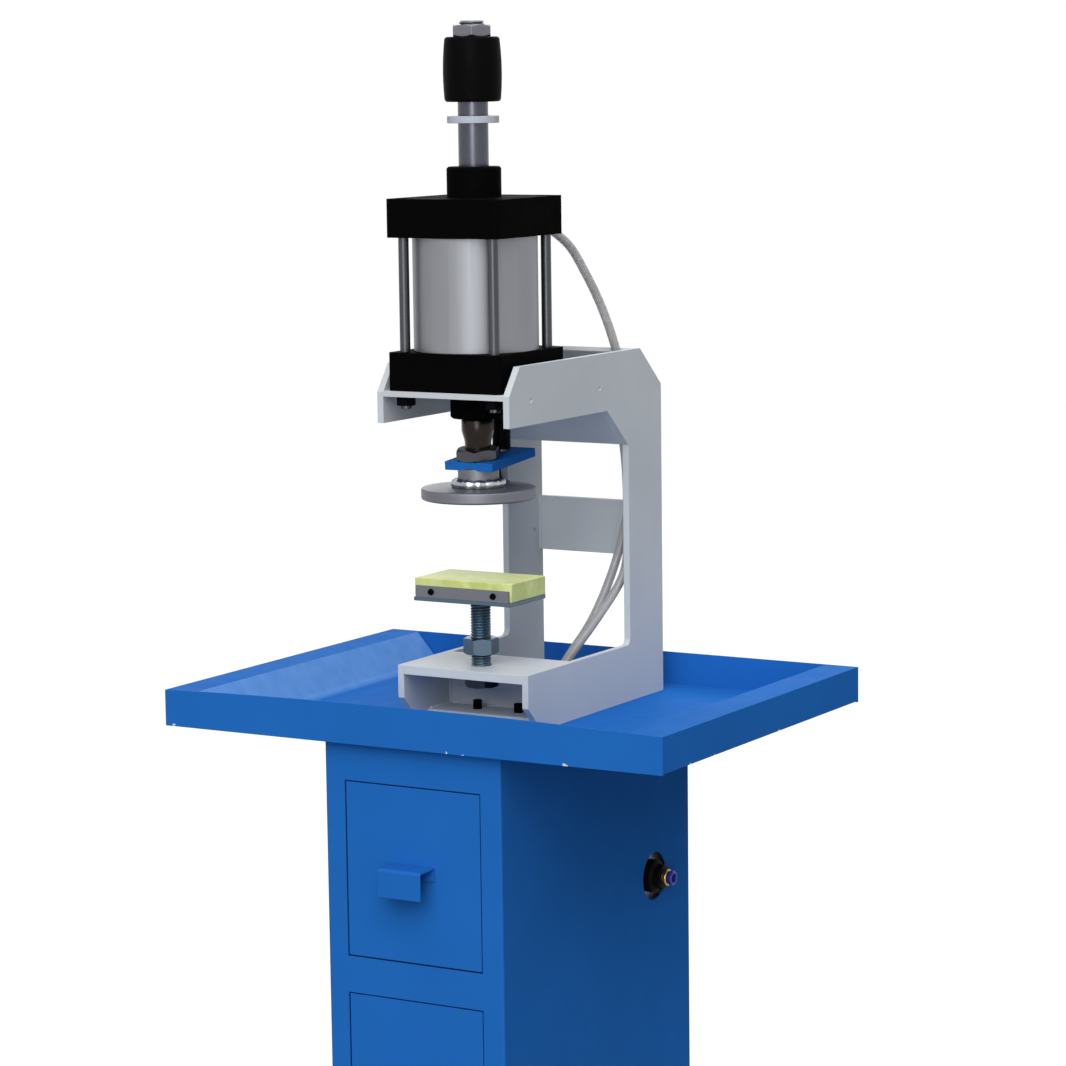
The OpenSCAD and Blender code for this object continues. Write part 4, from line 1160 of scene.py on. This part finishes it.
class PRESS_OT_air(Operator):
    """Finishes the air line: tubes, valve, silencers and the inlet in the cabinet's side"""

    bl_idname = "press.air"
    bl_label = "Air line"

    # points to the ram's right, behind it and above the tray's floor, in mm
    ROUTES = {
        "air_tube_a": [
            (0, 62, 441.5), (0, 82, 441.5), (4, 100, 434), (15, 114, 421), (20, 130, 411), (25, 140, 392),
            (31, 149, 374), (37, 158, 351), (43, 162, 330), (47.5, 167, 307), (50.5, 173, 282),
            (52, 178, 256), (52.5, 181, 230), (52, 181.5, 204), (50.5, 179.5, 180), (48, 175.5, 154),
            (44, 170, 132), (39, 164, 110), (34, 154, 88), (29, 142, 68), (25, 124, 52), (19, 110, 36),
            (12, 102, 14), (10, 100, -6), (10, 100, -28), (14, 110, -50), (26, 130, -70), (44, 150, -88),
            (60, 163, -102), (65, 166, -112), (65, 166, -136),
        ],
        "air_tube_b": [
            (0, 62, 310.5), (0, 82, 310.5), (9, 102, 308), (23, 121, 301), (37, 138, 289), (47, 150, 273),
            (53, 158, 252), (54.5, 163, 228), (55, 166, 202), (55, 167, 176), (55, 167, 150),
            (55, 166.5, 128), (53.5, 162, 111), (50, 148, 96.5), (45.5, 130.5, 79.5), (37, 107, 56),
            (28, 98, 40), (21, 90, 16), (20, 90, -6), (20, 90, -28), (24, 94, -50), (34, 106, -70),
            (48, 122, -88), (61, 135, -102), (65, 138, -112), (65, 138, -136),
        ],
    }
    # from the cylinder's fitting to the valve's; this and the outside radius are in metres
    LENGTHS = {"air_tube_a": 0.702, "air_tube_b": 0.58}
    RADIUS = 0.004
    SIDES = 24

    def execute(self, context):
        sizes = context.scene.press_sizes
        finishes(context.scene.press_colours)
        for node, route in self.ROUTES.items():
            self.tube(node, route, sizes)
        finished("valve_bracket", "zinc", sizes.sheet_edge)
        finished("valve_body", "aluminium", sizes.plate_edge)
        finished("valve_coil", "black_plastic", sizes.block_edge, 3)
        finished("valve_fittings", "black_plastic", sizes.turned_edge)
        finished("silencers", "brass", sizes.turned_edge)
        finished("inlet_union", "black_plastic", sizes.turned_edge)
        finished("inlet_collar", "brass", sizes.turned_edge)
        finished("inlet_ring", "blue_plastic", sizes.turned_edge)
        return {"FINISHED"}

    def tube(self, node, route, sizes):
        """One hollow tube along its route."""
        grommet_rim = 0.002  # its height above the tray's floor
        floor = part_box("tube_grommet")[1].z - grommet_rim
        points = [(RAM.x + x / 1000, RAM.y + y / 1000, floor + z / 1000) for x, y, z in route]
        mesh = grown(tube_tree(), node, {
            "Radius": self.RADIUS, "Step": 0.004, "Sides": self.SIDES, "Material": FINISH["tube"],
        }, line_mesh(node, points))
        made = piece(f"{node}_finish", mesh, "machine", "tube", [node])
        wall = made.modifiers.new("wall", "SOLIDIFY")
        wall.thickness = sizes.tube_wall
        wall.offset = -1


STEPS = (
    PRESS_OT_stage, PRESS_OT_cabinet, PRESS_OT_tray, PRESS_OT_frame, PRESS_OT_cylinder,
    PRESS_OT_ram, PRESS_OT_stop, PRESS_OT_anvil, PRESS_OT_air,
)
GROUPS = {"press_sizes": PressSizes, "press_colours": PressColours, "press_stage": PressStage}


class PRESS_PT_panel(Panel):
    """Lists the sizes, the colours and the steps"""

    bl_idname = "PRESS_PT_panel"
    bl_label = "Punching Machine"
    bl_space_type = "VIEW_3D"
    bl_region_type = "UI"
    bl_category = "Punching Machine"

    def draw(self, context):
        for step in STEPS:
            self.layout.operator(step.bl_idname)
        for name, group in GROUPS.items():
            column = self.layout.column()
            for field in group.__annotations__:
                column.prop(getattr(context.scene, name), field)


def register():
    for group in GROUPS.values():
        bpy.utils.register_class(group)
    for name, group in GROUPS.items():
        setattr(bpy.types.Scene, name, PointerProperty(type=group))
    for made in (*STEPS, PRESS_PT_panel):
        bpy.utils.register_class(made)


def unregister():
    for made in (PRESS_PT_panel, *reversed(STEPS)):
        bpy.utils.unregister_class(made)
    for name in GROUPS:
        delattr(bpy.types.Scene, name)
    for group in reversed(list(GROUPS.values())):
        bpy.utils.unregister_class(group)


def main():
    register()
    for step in STEPS:
        getattr(bpy.ops.press, step.bl_idname.split(".")[1])()


if __name__ == "__main__":
    main()
